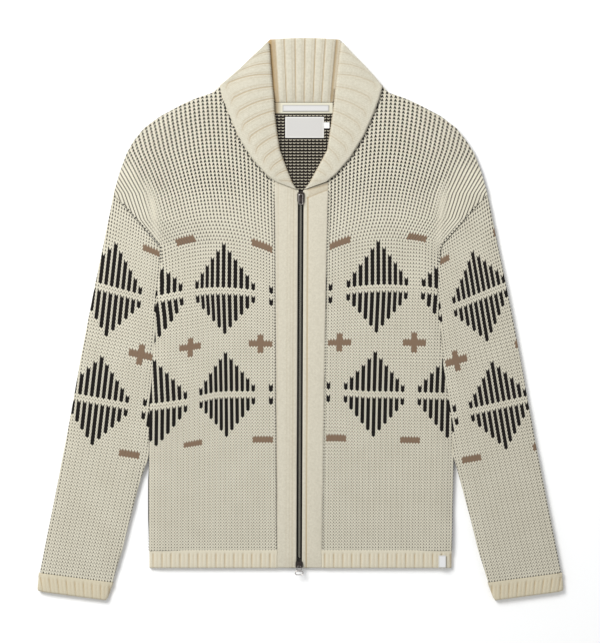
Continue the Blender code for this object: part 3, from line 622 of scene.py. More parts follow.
# The sleeves: tubes of the same jacquard, lying flat, so that each shows its upper layer with a
# round fold down both sides. They are set into dropped armholes, and the rows slope to the cuff.
SLEEVE_AT = (0, 41, 67, 73, 99, 125)
SLEEVE_ROWS = {
    -1: in_mm(-360, -173.5, -52.2, -23.5, 103.9, 232),
    1: in_mm(-360, -179.4, -59.3, -30.4, 92.5, 220),
}
AXIS_Y = {
    -1: in_mm(-360, -260, -173.5, -52.2, -23.5, 103.9, 200),
    1: in_mm(-360, -260, -179.4, -59.3, -30.4, 92.5, 200),
}
AXIS_X = {
    -1: in_mm(323, 303, 287.3, 273.5, 267.9, 254.1, 243),
    1: in_mm(320, 299.5, 283.6, 263.6, 257.4, 236.7, 222),
}
SLOPE_Y = in_mm(-360, -180, -108, -40, 26, 92, 150)
SLOPE = {-1: (0.13, 0.155, 0.175, 0.22, 0.25, 0.32, 0.5),
         1: (0.13, 0.18, 0.22, 0.27, 0.38, 0.48, 0.7)}
SLEEVE_WALE = {-1: in_mm(3.9, 4.1, 4.15, 4.15, 4.05, 4.0, 3.85),
               1: in_mm(3.85, 3.85, 3.85, 3.8, 3.62, 3.42, 3.4)}
SLEEVE_WALES = 38
SLEEVE_COURSES = 125
SLEEVE_MOTIF = 41


def sleeve_chart(u, v):
    """The yarn of each stitch of a sleeve, counted from its middle wale and up from the cuff."""
    return motif(u - SLEEVE_WALES // 2, v, SLEEVE_MOTIF)


HOLLOW_LOW, HOLLOW_HIGH = 4.0 * MM, 4.8 * MM


def add_inside(piece, outline, inset):
    """The inner face of a flattened tube: the thin hollow between its two layers."""
    at = outline[::2]
    ring = at + way_inward(at, outline) * inset
    bm = bmesh.new()
    bm.from_mesh(piece.data)
    under = [bm.verts.new((x, y, HOLLOW_LOW)) for x, y in ring]
    over = [bm.verts.new((x, y, HOLLOW_HIGH)) for x, y in ring]
    made = [bm.faces.new((under[k - 1], under[k], over[k], over[k - 1])) for k in range(len(ring))]
    for row in (under, over):
        edges = [bm.edges.get((row[k - 1], row[k])) for k in range(len(ring))]
        filled = bmesh.ops.triangle_fill(bm, edges=edges, use_beauty=True, normal=(0, 0, 1))
        made += [g for g in filled["geom"] if isinstance(g, bmesh.types.BMFace)]
    bmesh.ops.recalc_face_normals(bm, faces=made)
    bmesh.ops.reverse_faces(bm, faces=made)
    bm.to_mesh(piece.data)
    bm.free()


SLEEVE_CUT = (0.36, 0.585)
SEWN_FROM_Y = -170 * MM
# How a sleeve's round fold turns under: how far in and at what height, step by step
LOWER_FOLD = [(0.3 * MM, 3.0 * MM), (1.2 * MM, 1.4 * MM), (2.4 * MM, 0.3 * MM)]


def make_sleeve(node, side):
    """One sleeve, built on its solid."""
    outline = solid_outline(node)
    piece, u, v = stitch_grid(node + "_knit", SLEEVE_WALES, SLEEVE_COURSES)
    mark_faces(piece, SLEEVE_WALES, SLEEVE_COURSES, sleeve_chart)
    row = np.interp(v, SLEEVE_AT, SLEEVE_ROWS[side])
    wale = np.interp(row, SLOPE_Y, SLEEVE_WALE[side])
    slope = np.interp(row, SLOPE_Y, SLOPE[side])
    out = (u + swell(u, v, sleeve_chart) - SLEEVE_WALES / 2 - 0.5) * wale
    across = np.interp(row, AXIS_Y[side], AXIS_X[side]) + out + sway(u, v, 3.85 * MM)
    y = row + slope * out + chevron(u, 4.5 * MM)
    x = side * (across - 0.12 * slope * out)
    sewn = held((y - SEWN_FROM_Y) / (50 * MM)) * (out < 0)
    inside, x, y = hold_inside(x, y, outline)
    over = np.clip(-inside, 0, OVERHANG) * (1 - 0.8 * sewn)
    z = top_of(node)(x, y) + loop_rise(u, v) * held(inside / (2 * MM) + 1) - over
    place(piece, x, y, z)
    edge = np.exp(-held(inside) / (8 * MM))
    height = held((y - 0.02) / 0.2)
    add_values(piece, "grin", 0.58 + 0.25 * height + 0.25 * edge)
    trim_and_close(piece, -inside < OVERHANG, LOWER_FOLD, outline)
    add_inside(piece, outline, 7 * MM)
    piece.data.materials.append(wool)
    finish_cloth(piece, node, "main_knit", flat=SLEEVE_CUT, layers=2, rests_on=())


make_sleeve("sleeve_left", -1)
make_sleeve("sleeve_right", 1)


# The back: one panel of the same jacquard behind the fronts. Its wrong side shows in the neck,
# where the black yarn is carried across and the cream shows only as small ticks.
def lining_material():
    """The wrong side of the jacquard: black floats with a cream tick for each stitch."""
    made, tree, shader = new_material("black floats with cream ticks", {
        "Roughness": 0.95, "Sheen Weight": 0.05, "Specular IOR Level": 0.15})
    parts = add_node(tree, "SeparateXYZ", {0: add_node(tree, "UVMap", uv_map="UVMap")})
    away = off_middle(tree, parts.outputs[0])
    lean = add_node(tree, "Math", {0: away}, operation="MULTIPLY", in_1=0.75)
    rise = add_node(tree, "Math", {0: parts.outputs[1], 1: lean}, operation="SUBTRACT")
    band = add_node(tree, "MapRange", {0: off_middle(tree, rise)},
                    interpolation_type="SMOOTHSTEP", in_1=0.25, in_2=0.08)
    reach = add_node(tree, "MapRange", {0: away}, interpolation_type="SMOOTHSTEP", in_1=0.45,
                     in_2=0.27)
    tick = add_node(tree, "Math", {0: band, 1: reach}, operation="MULTIPLY")
    colour = add_node(tree, "Mix", {0: tick}, data_type="RGBA", in_6=linear("#16120F"),
                      in_7=linear("#ADA694"))
    link_inputs(shader, {"Base Color": colour.outputs[2]})
    return made


BACK_WALES = 98
BACK_COURSES = 156
BACK_WALE = 5.25 * MM
BACK_COURSE = 4.22 * MM
BACK_MIDDLE = 4.5 * MM


def make_back():
    """The back panel: its inner side towards the fronts, its outer side down on the table."""
    outline = solid_outline("back_panel")
    piece, u, v = stitch_grid("back_panel_knit", BACK_WALES, BACK_COURSES, 2, 1)
    x = (u - BACK_WALES / 2) * BACK_WALE + BACK_MIDDLE
    y = cad_low.y + 0.068 + v * BACK_COURSE - np.abs(u - np.floor(u) - 0.5) * 0.8 * MM
    inside, x, y = hold_inside(x, y, outline)
    z = top_of("back_panel")(x, y) - np.clip(-inside, 0, OVERHANG) * 0.5
    place(piece, x, y, z)
    add_values(piece, "grin", np.full(len(x), 0.6))
    trim_and_close(piece, -inside < 4 * MM, [(0.0, 0.0)])
    piece.data.materials.append(lining_material())
    piece.data.materials.append(wool)
    for face in piece.data.polygons:
        if face.normal.z < -0.5:
            face.material_index = 1
    finish_cloth(piece, "back_panel", "main_knit", rests_on=())


make_back()


# The ribbed edges: the hem in three lengths and the cuffs, knitted in a warmer cream. Each has
# broad ribs with a deep groove between them and a shallow one down the middle, both darkened
# with painted shade.
def plain_knit(name, low_colour, high_colour, groove_shade_colour, wale=2.0, course=2.2):
    """Cream rib or plain knit: small stitches as relief, with painted shade, darker and warmer,
    in the low parts of each stitch and in the grooves marked on the piece. The piece's UV map
    is in millimetres; wale and course are the stitch's size."""
    made, tree, shader = new_material(name, {
        "Roughness": 0.92, "Sheen Weight": 0.15, "Specular IOR Level": 0.2})
    parts = add_node(tree, "SeparateXYZ", {0: add_node(tree, "UVMap", uv_map="UVMap")})
    across, along = (add_node(tree, "Math", {0: parts.outputs[axis]}, operation="DIVIDE",
                              in_1=size) for axis, size in ((0, wale), (1, course)))
    away = off_middle(tree, across)
    lean = add_node(tree, "Math", {0: away}, operation="MULTIPLY", in_1=1.6)
    slanted = add_node(tree, "Math", {0: along, 1: lean}, operation="SUBTRACT")
    from_leg = add_node(tree, "Math", {0: away}, operation="SUBTRACT", in_1=0.25)
    leg_away = add_node(tree, "Math", {0: from_leg}, operation="ABSOLUTE")
    both = add_node(tree, "Math", {0: off_middle(tree, slanted), 1: leg_away}, operation="ADD")
    height = add_node(tree, "MapRange", {0: both}, interpolation_type="SMOOTHSTEP", in_1=0.75,
                      in_2=0.1)
    in_cloth = add_node(tree, "TexCoord").outputs["Object"]
    colour = uneven_colour(tree, in_cloth, 420.0, 3.0, low_colour, high_colour)[1]
    # Painted shade: the low parts of each stitch, then the marked grooves, take the groove shade
    # colour.
    gap = add_node(tree, "MapRange", {0: height}, in_1=0.0, in_2=0.55, in_3=0.30, in_4=0.0)
    groove = add_node(tree, "Attribute", attribute_name="groove").outputs["Fac"]
    for share in (gap, groove):
        colour = add_node(tree, "Mix", {0: share, 6: colour}, data_type="RGBA",
                          in_7=linear(groove_shade_colour)).outputs[2]
    fibre = add_node(tree, "TexNoise", {0: in_cloth}, in_2=1500.0, in_3=2.0)
    fuzz = add_node(tree, "Math", {0: fibre}, operation="MULTIPLY", in_1=0.4)
    total = add_node(tree, "Math", {0: height, 1: fuzz}, operation="ADD")
    bump = add_node(tree, "Bump", {"Height": total}, in_0=0.6, in_1=0.0005)
    link_inputs(shader, {"Base Color": colour, "Normal": bump})
    return made


def cloth_patch(node, spacing, relief, material, slot, round_off=2.0 * MM, thick=1.2 * MM,
                passes=6, turn=0.0, fit=None, ease_out=0.2 * MM, layers=1,
                rests_on=("back_panel",)):
    """A patch of knit on a solid: its plan and height are the solid's, made smooth, and relief
    gives the height to add at each point and how much painted shade, and on labels how much
    border colour, it takes. turn slants the stitches."""
    low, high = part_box(node)
    outline = solid_outline(node, 0.002, ease_out)
    columns = int((high.x - low.x) / spacing) + 3
    rows = int((high.y - low.y) / spacing) + 3
    piece = new_grid(node + "_knit", columns, rows)
    grid = read_points(piece.data)
    x = (low.x + high.x) / 2 + grid[:, 0] * columns * spacing / 2
    y = (low.y + high.y) / 2 + grid[:, 1] * rows * spacing / 2
    inside, x, y = hold_inside(x, y, outline)
    rise, groove = relief(x, y, held(inside))
    kept = -inside < spacing * 0.9
    if fit is not None:
        x, y, inside = fit(x, y, inside)
    deep = np.clip(inside, 0, round_off)
    rounding = round_off - np.sqrt(np.maximum(round_off ** 2 - (round_off - deep) ** 2, 0))
    z = top_of(node, 0.003, passes)(x, y) - rounding * 0.8 + rise
    z = np.maximum(z, low.z + thick)
    place(piece, x, y, z)
    add_values(piece, "groove", groove)
    c, d = math.cos(turn), math.sin(turn)
    write_uv(piece, (x * c + y * d) / MM, (y * c - x * d) / MM)
    trim_and_close(piece, kept, [(0.0, low.z + 0.1 * MM)])
    piece.data.materials.append(material)
    if layers == 2:
        add_inside(piece, outline, 6 * MM)
    finish_cloth(piece, node, slot, layers=layers, rests_on=rests_on)


def rib_profile(phase, width=0.10, depth=1.2 * MM, second=0.45 * MM):
    """Height and painted groove shade of broad ribs: a deep groove at whole numbers, a shallow one
    halfway. phase counts ribs."""
    deep = ridge(phase - np.round(phase), width)
    shallow = ridge(phase - 0.5 - np.round(phase - 0.5), width)
    return -depth * deep - second * shallow, 0.75 * deep ** 2 + 0.28 * shallow ** 2


rib_wool = plain_knit("warm cream rib wool", "#C9C0A7", "#D3CBB4", "#A98F62")
hem_wool = plain_knit("pale cream hem rib wool", "#D1CAB5", "#D9D3BF", "#A98F62")


HEM_PITCH = 12.4 * MM
HEM_SEAM_Y = -320.4 * MM


def hem_fit(x, y, inside):
    """The hem's lower edge rises a little from the solid's, and its top lies under the front."""
    low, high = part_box("hem_rib_front_left")
    up = (y - low.y) / (high.y - low.y)
    lifted = y + 3.0 * MM * (1 - up) + 1.4 * MM * held((up - 0.9) * 10)
    return x, lifted, np.where(up > 0.8, 1.0, inside)


def hem_relief(start):
    """Ribs that begin just under the seam and soften towards the lower edge."""
    def relief(x, y, inside):
        rise, groove = rib_profile((x - start) / HEM_PITCH)
        below = (HEM_SEAM_Y - y) / MM
        fade = held(below / 4 - 0.4) * np.clip(1.25 - below / 40, 0.5, 1)
        return rise * fade, groove * fade
    return relief


for node, start, spacing in (("hem_rib_front_left", -0.2035, 1.2 * MM),
                             ("hem_rib_front_right", 0.0335, 1.2 * MM),
                             ("hem_rib_back", -0.2035, 1.6 * MM)):
    cloth_patch(node, spacing, hem_relief(start), hem_wool, "rib_knit", fit=hem_fit)


CUFF_PITCH = 11.5 * MM
CUFF_LEAN = 0.17


def cuff_seam(across):
    """The height of the seam between the cuff and the sleeve, so far out from the zip."""
    return -0.352 + (across - 0.361) * 0.127


def cuff_relief(side):
    """Ribs along the arm, which start below the seam with round tops."""
    def relief(x, y, inside):
        rise, groove = rib_profile((x * side * 0.985 - y * CUFF_LEAN) / CUFF_PITCH)
        below = (cuff_seam(x * side) - y) / MM
        fade = held(below / 4 - 0.4) * np.clip(1.3 - below / 30, 0.5, 1)
        return rise * fade, groove * fade
    return relief


def cuff_fit(side):
    """The cuff draws in a little at its inner corner, and its top lies under the sleeve."""
    def fit(x, y, inside):
        seam = cuff_seam(x * side)
        down = held((seam - y) / (24.5 * MM))
        toward = held((0.361 - x * side) / 0.103)
        near_top = np.clip((y - seam) / MM + 4, 0, 4) / 4
        return x + side * 4.5 * MM * down * toward, y + 1.4 * MM * near_top, \
            np.where(near_top > 0, 1.0, inside)
    return fit


for node, side in (("cuff_left", -1), ("cuff_right", 1)):
    cloth_patch(node, 1.2 * MM, cuff_relief(side), rib_wool, "rib_knit", round_off=3 * MM,
                turn=-side * CUFF_LEAN, fit=cuff_fit(side), layers=2, rests_on=())


# The bands: two plain, closely knitted strips along the zip. The right one is folded and
# stitched down a little way from the zip, which leaves a fine crease drawn as a tan line of
# painted shade.
def zip_middle(y):
    """The zip leans a little: where its middle lies at each height."""
    return ZIP_X - ZIP_LEAN * (ZIP_TOP - y)


# How far out from the zip, in mm, the right band's fold is stitched down
FOLD_OUT = 9.6


def band_relief(side):
    """Faint knitted lines down the left band and the stitched fold down the right one, each
    darkened with painted shade, with painted shade also where the collar's end lies on it.
    """
    def relief(x, y, inside):
        out = (x - zip_middle(y)) * side / MM
        if side > 0:
            fold = ridge(out - FOLD_OUT, 0.7)
            # Painted shade along the two edges of the collar's end over the right band, and
            # beneath it.
            lower = (y - 0.1673 - (x - 0.0098) * 0.396) / MM
            upper = (y - 0.1794 - (x - 0.0159) * 0.285) / MM
            seam = ridge(lower, 0.8) + 0.7 * ridge(upper, 0.8)
            shade_under_collar_end = held(lower) * (x > 0.0105)
            seam = seam * (x > 0.009)
            return -0.6 * MM * np.maximum(fold, seam), \
                1.0 * fold * held(1 - lower) + 0.55 * seam + 0.22 * shade_under_collar_end
        rise = np.zeros_like(x)
        groove = np.zeros_like(x)
        for at, deep, tint in ((9.5, 0.35, 0.30), (13.5, 0.2, 0.16), (18.0, 0.2, 0.14),
                               (31.0, 0.3, 0.2)):
            line = ridge(out - at, 0.8)
            rise -= deep * MM * line
            groove += tint * line
        return rise, groove
    return relief


def band_fit(x, y, inside):
    """The bands end level with the hem's lower edge."""
    up = held((y + 0.347) / 0.05)
    short = (0.1784 + (np.abs(x) - 0.0046) * 0.357 - y) / MM
    under = held(1 - short / 4)
    out = np.abs(x - zip_middle(y)) / MM
    x = x + np.sign(x) * 0.9 * MM * held(1 - (out - 2.5) / 5) * (y < 0.165)
    return x, y + 3.0 * MM * (1 - up) + 1.8 * MM * under, np.where(under > 0, 1.0, inside)


band_wool = plain_knit("fine cream band knit", "#C0BAA7", "#DDD8C7", "#A68D63", 1.5, 1.7)
for node, side in (("placket_left", -1), ("placket_right", 1)):
    cloth_patch(node, 1.2 * MM, band_relief(side), band_wool, "band_knit", fit=band_fit,
                round_off=1.2 * MM, ease_out=0.8 * MM)


# The shawl collar: one broad rib knit, folded over so that its fall lies on the fronts and its
# stand shows behind the neck. Each groove runs out from the roll and hooks down just before the
# plain edge. Rows: the roll's x on the left and right, its y, the outer edge's x and y, in mm.
FALL_LINE = np.array((
    (4.6, 4.6, 178.4, 35.0, 36.5, 189.8), (10.4, 11.5, 187.0, 40.0, 41.0, 193.5),
    (18.6, 22.5, 207.0, 48.0, 49.0, 200.0), (28.3, 36.6, 233.2, 67.5, 68.5, 222.7),
    (32.4, 40.7, 259.4, 85.3, 86.5, 251.4), (35.2, 44.0, 281.5, 95.9, 98.0, 276.6),
    (36.3, 46.4, 302.2, 105.6, 107.5, 300.8), (38.0, 48.2, 321.0, 111.8, 113.2, 320.8),
    (39.2, 49.6, 335.0, 97.5, 103.0, 333.8), (40.5, 51.6, 351.0, 78.5, 87.8, 350.5),
    (41.6, 53.3, 366.5, 61.8, 72.0, 366.0), (42.4, 54.6, 375.0, 52.8, 64.0, 375.0),
    (43.0, 55.2, 380.5, 48.0, 59.6, 380.6),
)) * MM
# Where each groove leaves the roll and where it would meet the outer edge, from the zip upward
GROOVE_ROLL = in_mm(178.4, 190, 205.6, 220.8, 236.7, 253.9, 269.9, 287.2, 304.4, 320.4,
                    337.1, 352.5, 368.5, 380.5)
GROOVE_EDGE = in_mm(189.8, 190.8, 194.5, 200.5, 212.0, 226.5, 242.5, 260.0, 279.0, 298.1,
                    320.2, 336.7, 358.1, 380.6)


def make_fall(node, side):
    """One side of the collar, from the zip to the top corner."""
    piece = new_grid(node + "_knit", 44, 330)
    grid = read_points(piece.data)
    t = (grid[:, 0] + 1) / 2
    s = (grid[:, 1] + 1) / 2 * (len(GROOVE_ROLL) - 1)
    count = np.arange(len(GROOVE_ROLL))
    roll_y = np.interp(s, count, GROOVE_ROLL)
    edge_y = np.interp(s, count, GROOVE_EDGE)
    pick = 0 if side < 0 else 1
    roll_x = np.interp(roll_y, FALL_LINE[:, 2], FALL_LINE[:, pick])
    edge_x = np.interp(edge_y, FALL_LINE[:, 5], FALL_LINE[:, 3 + pick])
    width = np.hypot(edge_x - roll_x, edge_y - roll_y)
    sag = 0.07 * width * np.sin(math.pi * t) * held((s - 1) / 3)
    across = roll_x + (edge_x - roll_x) * t
    y = roll_y + (edge_y - roll_y) * t + sag
    from_edge, from_roll = (1 - t) * width / MM, t * width / MM
    hook = held((15 - from_edge) / 8) ** 2 * 0.3
    fade = held((from_edge - 5.5) / 3) * held((s - 0.3) * 2)
    phase = s + hook * np.clip((width / MM) / 50, 0.2, 1)
    deep = ridge(phase - np.round(phase), 0.055)
    past = np.mod(phase + 0.5, 1) - 0.5
    beside, other = ridge(past - 0.21, 0.05), ridge(past + 0.2, 0.05)
    bow = np.sin(math.pi * (phase - np.floor(phase)))
    rise = (-0.42 * deep - 0.18 * beside - 0.12 * other + 0.08 * bow) * MM * fade
    scallop = 0.35 * MM * np.sin(2 * math.pi * roll_y / (3.4 * MM)) * np.exp(-from_roll / 3)
    x = side * (across + scallop)
    base = top_of(node, 0.004, 14)(np.clip(across, roll_x + 5 * MM, edge_x - 3 * MM) * side, y)
    roll_turn = np.sqrt(held(1 - (1 - held(from_roll / 6)) ** 2))
    edge_turn = np.sqrt(held(1 - (1 - held(from_edge / 2.5)) ** 2))
    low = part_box(node)[0].z
    z = base + rise - (1 - roll_turn) * 3.6 * MM - (1 - edge_turn) * 1.6 * MM
    place(piece, x, y, np.maximum(z, low + 1.5 * MM))
    # Painted shade: the rib grooves darken, less on the right side, and the fall darkens along its
    # roll.
    shade = 0.6 * deep + 0.28 * beside + 0.18 * other
    if side > 0:
        shade = 0.6 * shade
    under = 0.55 * held(1 - from_roll / 1.6)
    add_values(piece, "groove", shade * fade + under)
    write_uv(piece, s * 16.0, t * width / MM)
    trim_and_close(piece, np.ones(len(x), bool), [(0.0, low + 0.1 * MM)])
    piece.data.materials.append(collar_wool)
    finish_cloth(piece, node, "rib_knit",
                 rests_on=("front_left" if side < 0 else "front_right", "back_panel"))


collar_wool = plain_knit("shawl collar rib wool", "#B5B09D", "#DAD6C6", "#A38960", 2.3, 2.5)
for node, side in (("collar_left", -1), ("collar_right", 1)):
    make_fall(node, side)


def stand_relief(x, y, inside):
    """The stand's upright ribs, with painted shade in their grooves and the roll's shade painted
    down its left side.
    """
    up = held((y - 0.2985) / 0.0895)
    left = (-34.6 - 6.6 * up) * MM
    right = (44.6 + 8.8 * up) * MM
    share = (x - left) / (right - left)
    knots = np.array((-0.6, 0.06, 0.195, 0.355, 0.50, 0.655, 0.80, 0.96, 1.6))
    phase = np.interp(share, knots, np.arange(len(knots)))
    part = phase - np.floor(phase)
    deep = ridge(phase - np.round(phase), 0.06)
    second = ridge(part - 0.72, 0.06)
    rise = (-1.1 * deep - 0.35 * second + 0.4 * np.sin(math.pi * part)) * MM
    in_shade = held(1 - (x - left) / (7 * MM))
    shade = 0.8 * deep * (1 - in_shade) + 0.28 * second + in_shade ** 1.5
    low = held((y - 0.300) / (3 * MM))
    return rise * low, shade


def stand_fit(x, y, inside):
    """The stand's lower ends run in under the roll."""
    near = held((0.345 - y) / 0.02) * (inside < 1.5 * MM) * (y > 0.2995)
    return x + np.sign(x - 0.0066) * 2.2 * MM * near, y, inside


cloth_patch("collar_back", 1.2 * MM, stand_relief, collar_wool, "rib_knit", round_off=3 * MM,
            passes=12, fit=stand_fit)


# The neck's trimmings: a cream tape sewn over the back neck seam with a pale woven strip on it,
# a woven label below, a size tab beside it, and a small tag in the side seam. All are bare.
def woven_cloth(name, low_colour, high_colour, border_and_shade_colour, thread=0.5):
    """A fine close weave. The UV map is in millimetres; thread is the weave's pitch in mm."""
    made, tree, shader = new_material(name, {"Roughness": 0.75, "Sheen Weight": 0.1})
    in_cloth = add_node(tree, "UVMap", uv_map="UVMap")
    warp, weft = (add_node(tree, "TexWave", {0: in_cloth}, bands_direction=way,
                           in_1=0.314 / thread).outputs["Fac"] for way in "XY")
    cloth = add_node(tree, "Math", {0: warp, 1: weft}, operation="MULTIPLY")
    base = add_node(tree, "Mix", {0: cloth}, data_type="RGBA", in_6=linear(low_colour),
                    in_7=linear(high_colour)).outputs[2]
    # The edge colour, by the groove value, gives painted shadow on the tape and the strip and a
    # border tone on the labels.
    edge = add_node(tree, "Attribute", attribute_name="groove").outputs["Fac"]
    colour = add_node(tree, "Mix", {0: edge, 6: base}, data_type="RGBA",
                      in_7=linear(border_and_shade_colour)).outputs[2]
    bump = add_node(tree, "Bump", {"Height": cloth}, in_0=0.4, in_1=0.0001)
    link_inputs(shader, {"Base Color": colour, "Normal": bump})
    return made


def tape_relief(x, y, inside):
    """The collar's roll shades the tape's left end; its edges are stitched down."""
    shade = 0.8 * held((-0.0262 - x) / (6 * MM))
    return -0.2 * MM * np.exp(-(inside / (0.8 * MM)) ** 2), shade


def tape_fit(x, y, inside):
    """The tape's upper edge lies under the stand."""
    return x, y + 1.3 * MM * held((y - 0.294) / (2 * MM)), inside


def label_relief(x, y, inside):
    """A border of closer weave, turned under, stands a hair higher than the field; it takes the
    edge colour, which on the strip is a painted shadow.
    """
    border = held(1.9 - inside / (0.9 * MM))
    return 0.1 * MM * border, border


# Each look's fourth colour is its edge colour: the roll's painted shadow on the tape, a painted
# shadow round the strip's raised border, a paler border on the label, a darker one on the tag, and
# on the size tab the tab's own colour.
TRIMMINGS = (
    ("neck_tape", tape_relief, ("twill neck tape", "#CBC7B4", "#D3CFBD", "#8F7B58", 0.9)),
    ("neck_strip", label_relief, ("woven strip", "#C8C7C5", "#D0CFCD", "#A9A7A2", 0.5)),
    ("neck_label", label_relief, ("woven label", "#BEBCB8", "#C8C6C2", "#DAD8D3", 0.5)),
    ("size_tab", label_relief, ("woven size tab", "#E0E0DF", "#E8E8E7", "#E8E8E7", 0.4)),
    ("side_tag", label_relief, ("woven side tag", "#D8D8D7", "#E4E4E3", "#C4C3BE", 0.4)),
)
for node, relief, look in TRIMMINGS:
    is_tape = node == "neck_tape"
    cloth_patch(node, 0.9 * MM, relief, woven_cloth(*look), "woven_label",
                round_off=0.15 * MM, thick=0.3 * MM, passes=2,
                ease_out=(3.0 if is_tape else 0.2) * MM, fit=tape_fit if is_tape else None)


# The zip: two dark woven tapes, a closed chain of moulded metal teeth, and a slider at each end
# with its pull. The teeth of the two rows stand between each other.
zip_cloth = woven_cloth("zip tape", "#1D1915", "#2C2722", "#1D1915", 0.7)
for node in ("zip_tape_left", "zip_tape_right"):
    cloth_patch(node, 2.5 * MM, lambda x, y, inside: (0 * x, 0 * x), zip_cloth, "zip_tape",
                round_off=0.1 * MM, thick=0.3 * MM, passes=2)


def worn_metal(name, low_colour, high_colour, roughness):
    """Plated metal with a slightly uneven tone and shine."""
    made, tree, shader = new_material(name, {"Metallic": 1.0})
    in_metal = add_node(tree, "TexCoord").outputs["Object"]
    uneven, tone = uneven_colour(tree, in_metal, 400.0, 2.0, low_colour, high_colour)
    shine = add_node(tree, "MapRange", {0: uneven}, in_3=roughness - 0.06,
                     in_4=roughness + 0.1)
    link_inputs(shader, {"Base Color": tone, "Roughness": shine})
    return made


TOOTH_PITCH = 2.75 * MM
TOOTH_LONG, TOOTH_WIDE = 3.3 * MM, 1.75 * MM


def make_tooth_row(side, steel):
    """One side's teeth: a small rounded block, repeated down the chain's slightly leaning line."""
    low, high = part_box("zip_chain")
    bpy.ops.object.select_all(action="DESELECT")
    bpy.ops.mesh.primitive_cube_add(size=1)
    row = bpy.context.object
    row.name = row.data.name = "zip_teeth_" + ("left" if side < 0 else "right")
    block = read_points(row.data)
    top = high.y - 1.0 * MM - (0 if side < 0 else TOOTH_PITCH / 2)
    middle = zip_middle(top) + side * 1.15 * MM
    narrow = np.where(block[:, 2] > 0, 0.86, 1.0)
    place(row, middle + block[:, 0] * TOOTH_LONG * narrow,
          top + block[:, 1] * TOOTH_WIDE * narrow,
          (low.z + high.z) / 2 + block[:, 2] * (high.z - low.z))
    bevel = row.modifiers.new("rounding", "BEVEL")
    bevel.width = 0.3 * MM
    bevel.segments = 2
    bpy.ops.object.modifier_apply(modifier=bevel.name)
    many = row.modifiers.new("row", "ARRAY")
    many.use_relative_offset = False
    many.use_constant_offset = True
    many.constant_offset_displace = (-ZIP_LEAN * TOOTH_PITCH, -TOOTH_PITCH, 0)
    many.count = int((high.y - low.y - 2 * MM) / TOOTH_PITCH)
    bpy.ops.object.modifier_apply(modifier=many.name)
    row.data.materials.append(steel)
    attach(row, "garment")
    return row


# The teeth are near-black metal, as their legs show; the lighter tone along the chain's middle,
# where the heads rise, is a painted highlight.
tooth_steel = worn_metal("dark zip teeth", "#7A786E", "#A5A296", 0.42)
tooth_tree = tooth_steel.node_tree
in_teeth = next(n for n in tooth_tree.nodes if n.type == "TEX_COORD").outputs["Object"]
along_zip = add_node(tooth_tree, "VectorMath", {0: in_teeth}, operation="DOT_PRODUCT",
                     in_1=(1.0, -ZIP_LEAN, 0.0)).outputs["Value"]
off_zip = add_node(tooth_tree, "Math", {0: along_zip}, operation="SUBTRACT",
                   in_1=ZIP_X - ZIP_LEAN * ZIP_TOP)
how_far = add_node(tooth_tree, "Math", {0: off_zip}, operation="ABSOLUTE")
leg = add_node(tooth_tree, "MapRange", {0: how_far}, interpolation_type="SMOOTHSTEP",
               in_1=1.0 * MM, in_2=1.9 * MM)
tooth_shader = tooth_tree.nodes["Principled BSDF"]
painted_highlight_tone = tooth_shader.inputs["Base Color"].links[0].from_socket
chain_highlight_and_dark_legs = add_node(tooth_tree, "Mix", {0: leg, 6: painted_highlight_tone}, data_type="RGBA",
                    in_7=linear("#1E1A18"))
link_inputs(tooth_shader, {"Base Color": chain_highlight_and_dark_legs.outputs[2]})
teeth = [make_tooth_row(side, tooth_steel) for side in (-1, 1)]
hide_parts("zip_chain")
slider_steel = worn_metal("dark slider plating", "#37322F", "#5A5350", 0.3)
pull_steel = worn_metal("pull plating", "#8E8884", "#B9B3AE", 0.28)
for node, steel in (("slider_top", slider_steel), ("slider_bottom", slider_steel),
                    ("pull_top", pull_steel), ("pull_bottom_link", pull_steel),
                    ("pull_bottom_ring", pull_steel)):
    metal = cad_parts[node]
    metal.data.materials.clear()
    metal.data.materials.append(steel)


# The dark yarn along the seams: where the jacquard meets the bands, the collar and the sleeves,
# short black strands of the float yarn show as a line of slanted stitches.
def seam_strands(name, line, length, width, lean, over, lift, pitch):
    """Small black strands along a line of plan points, each turned by lean from the line and
    laid so far over the cloth's height."""
    run = np.concatenate(([0.0], np.cumsum(np.hypot(*np.diff(line, axis=0).T))))
    at = np.arange(pitch / 2, run[-1], pitch)
    from_x, from_y = (np.interp(at, run, line[:, axis]) for axis in (0, 1))
    to_x, to_y = (np.interp(at + 1 * MM, run, line[:, axis]) for axis in (0, 1))
    turned = np.arctan2(to_y - from_y, to_x - from_x) + lean
    reach = length * np.random.default_rng(7).uniform(0.75, 1.15, len(at))
    bpy.ops.object.select_all(action="DESELECT")
    bpy.ops.mesh.primitive_uv_sphere_add(segments=8, ring_count=6, radius=0.5)
    piece = bpy.context.object
    piece.name = piece.data.name = name
    many = piece.modifiers.new("strands", "ARRAY")
    many.count = len(at)
    many.use_relative_offset = False
    bpy.ops.object.modifier_apply(modifier=many.name)
    ball = read_points(piece.data).reshape(len(at), -1, 3)
    c, d = np.cos(turned)[:, None], np.sin(turned)[:, None]
    along, across = ball[:, :, 0] * reach[:, None], ball[:, :, 1] * width
    x = from_x[:, None] + along * c - across * d
    y = from_y[:, None] + along * d + across * c
    z = (over(from_x, from_y) + lift)[:, None] + ball[:, :, 2] * 0.9 * MM
    place(piece, x.ravel(), y.ravel(), z.ravel())
    piece.data.shade_smooth()
    piece.data.materials.append(strand_wool)
    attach(piece, "garment")


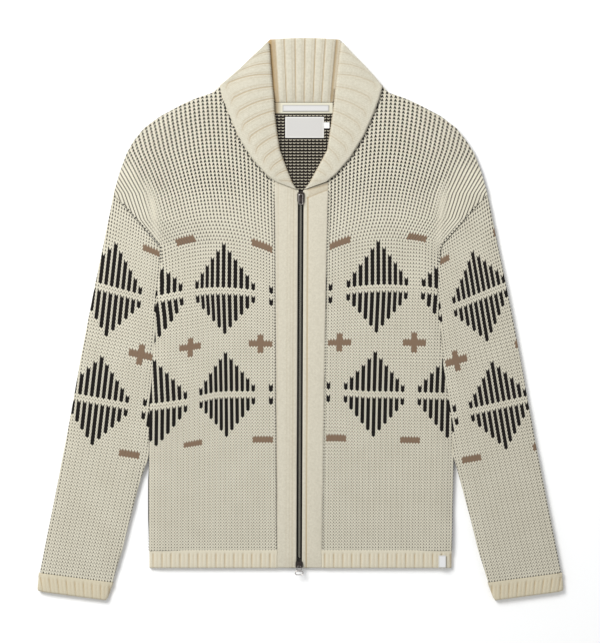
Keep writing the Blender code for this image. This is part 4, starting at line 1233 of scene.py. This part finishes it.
strand_wool = new_material("black seam yarn", {"Base Color": linear(BLACK_YARN),
                                               "Roughness": 0.9})[0]
ARMHOLE_LEVELS = np.linspace(NECK_Y, 0.078, 20)
BAND_LEVELS = np.linspace(ZIP_TOP, -0.318, 60)
for side, node, front in ((-1, "placket_left", "front_left"), (1, "placket_right", "front_right")):
    pick = 0 if side < 0 else 1
    edge = solid_edges(node, BAND_LEVELS)[pick]
    armhole = solid_edges(front, ARMHOLE_LEVELS)[pick]
    outer = FALL_LINE[1:8, 3 + pick] * side
    over = top_of(front)
    for seam, x, y, length, width, lean, lift, pitch in (
            ("band", edge + side * 1.9 * MM, BAND_LEVELS, 2.0, 1.3, 0.35, 0.8, 4.2),
            ("armhole", armhole - side * 0.4 * MM, ARMHOLE_LEVELS, 2.3, 1.9, 0.9, 0.7, 4.9),
            ("collar", outer + side * 1.6 * MM, FALL_LINE[1:8, 5] - 1.2 * MM, 3.0, 1.7, 0.9,
             0.4, 4.6)):
        seam_strands(front + "_" + seam + "_strands", np.column_stack((x, y)), length * MM,
                     width * MM, lean * side, over, lift * MM, pitch * MM)


# The studio: a plain pale table under a large soft light from the upper left, with a pale sky
# for fill, photographed from straight above with a long lens.
bpy.ops.object.select_all(action="DESELECT")
bpy.ops.mesh.primitive_plane_add(size=8)
floor = bpy.context.object
floor.name = "studio_table"
place(floor, *(read_points(floor.data) + (0, 0, -0.0004)).T)
white_table = new_material("matt white table", {"Base Color": linear("#FBFBFA"),
                                                "Roughness": 0.9})[0]
floor.data.materials.append(white_table)

lamp = bpy.data.objects.new("key_light", bpy.data.lights.new("key_light", "AREA"))
lamp.data.shape = "SQUARE"
lamp.data.size = 1.1
lamp.data.energy = 62
lamp.location = (-1.15, 1.25, 1.9)
lamp.rotation_euler = (Vector((0, 0, 0)) - lamp.location).to_track_quat("-Z", "Y").to_euler()
bpy.context.scene.collection.objects.link(lamp)

world = bpy.data.worlds.new("studio")
bpy.context.scene.world = world
world.use_nodes = True
sky = world.node_tree.nodes["Background"]
sky.inputs["Color"].default_value = linear("#F7F8FA")
sky.inputs["Strength"].default_value = 0.62

camera = bpy.data.objects.new("camera", bpy.data.cameras.new("camera"))
bpy.context.scene.collection.objects.link(camera)
bpy.context.scene.camera = camera
camera.data.lens = 100
camera.data.sensor_width = 36
camera.location = (-0.00069, -0.00345, 2.4723)
bpy.context.scene.view_settings.view_transform = "Standard"
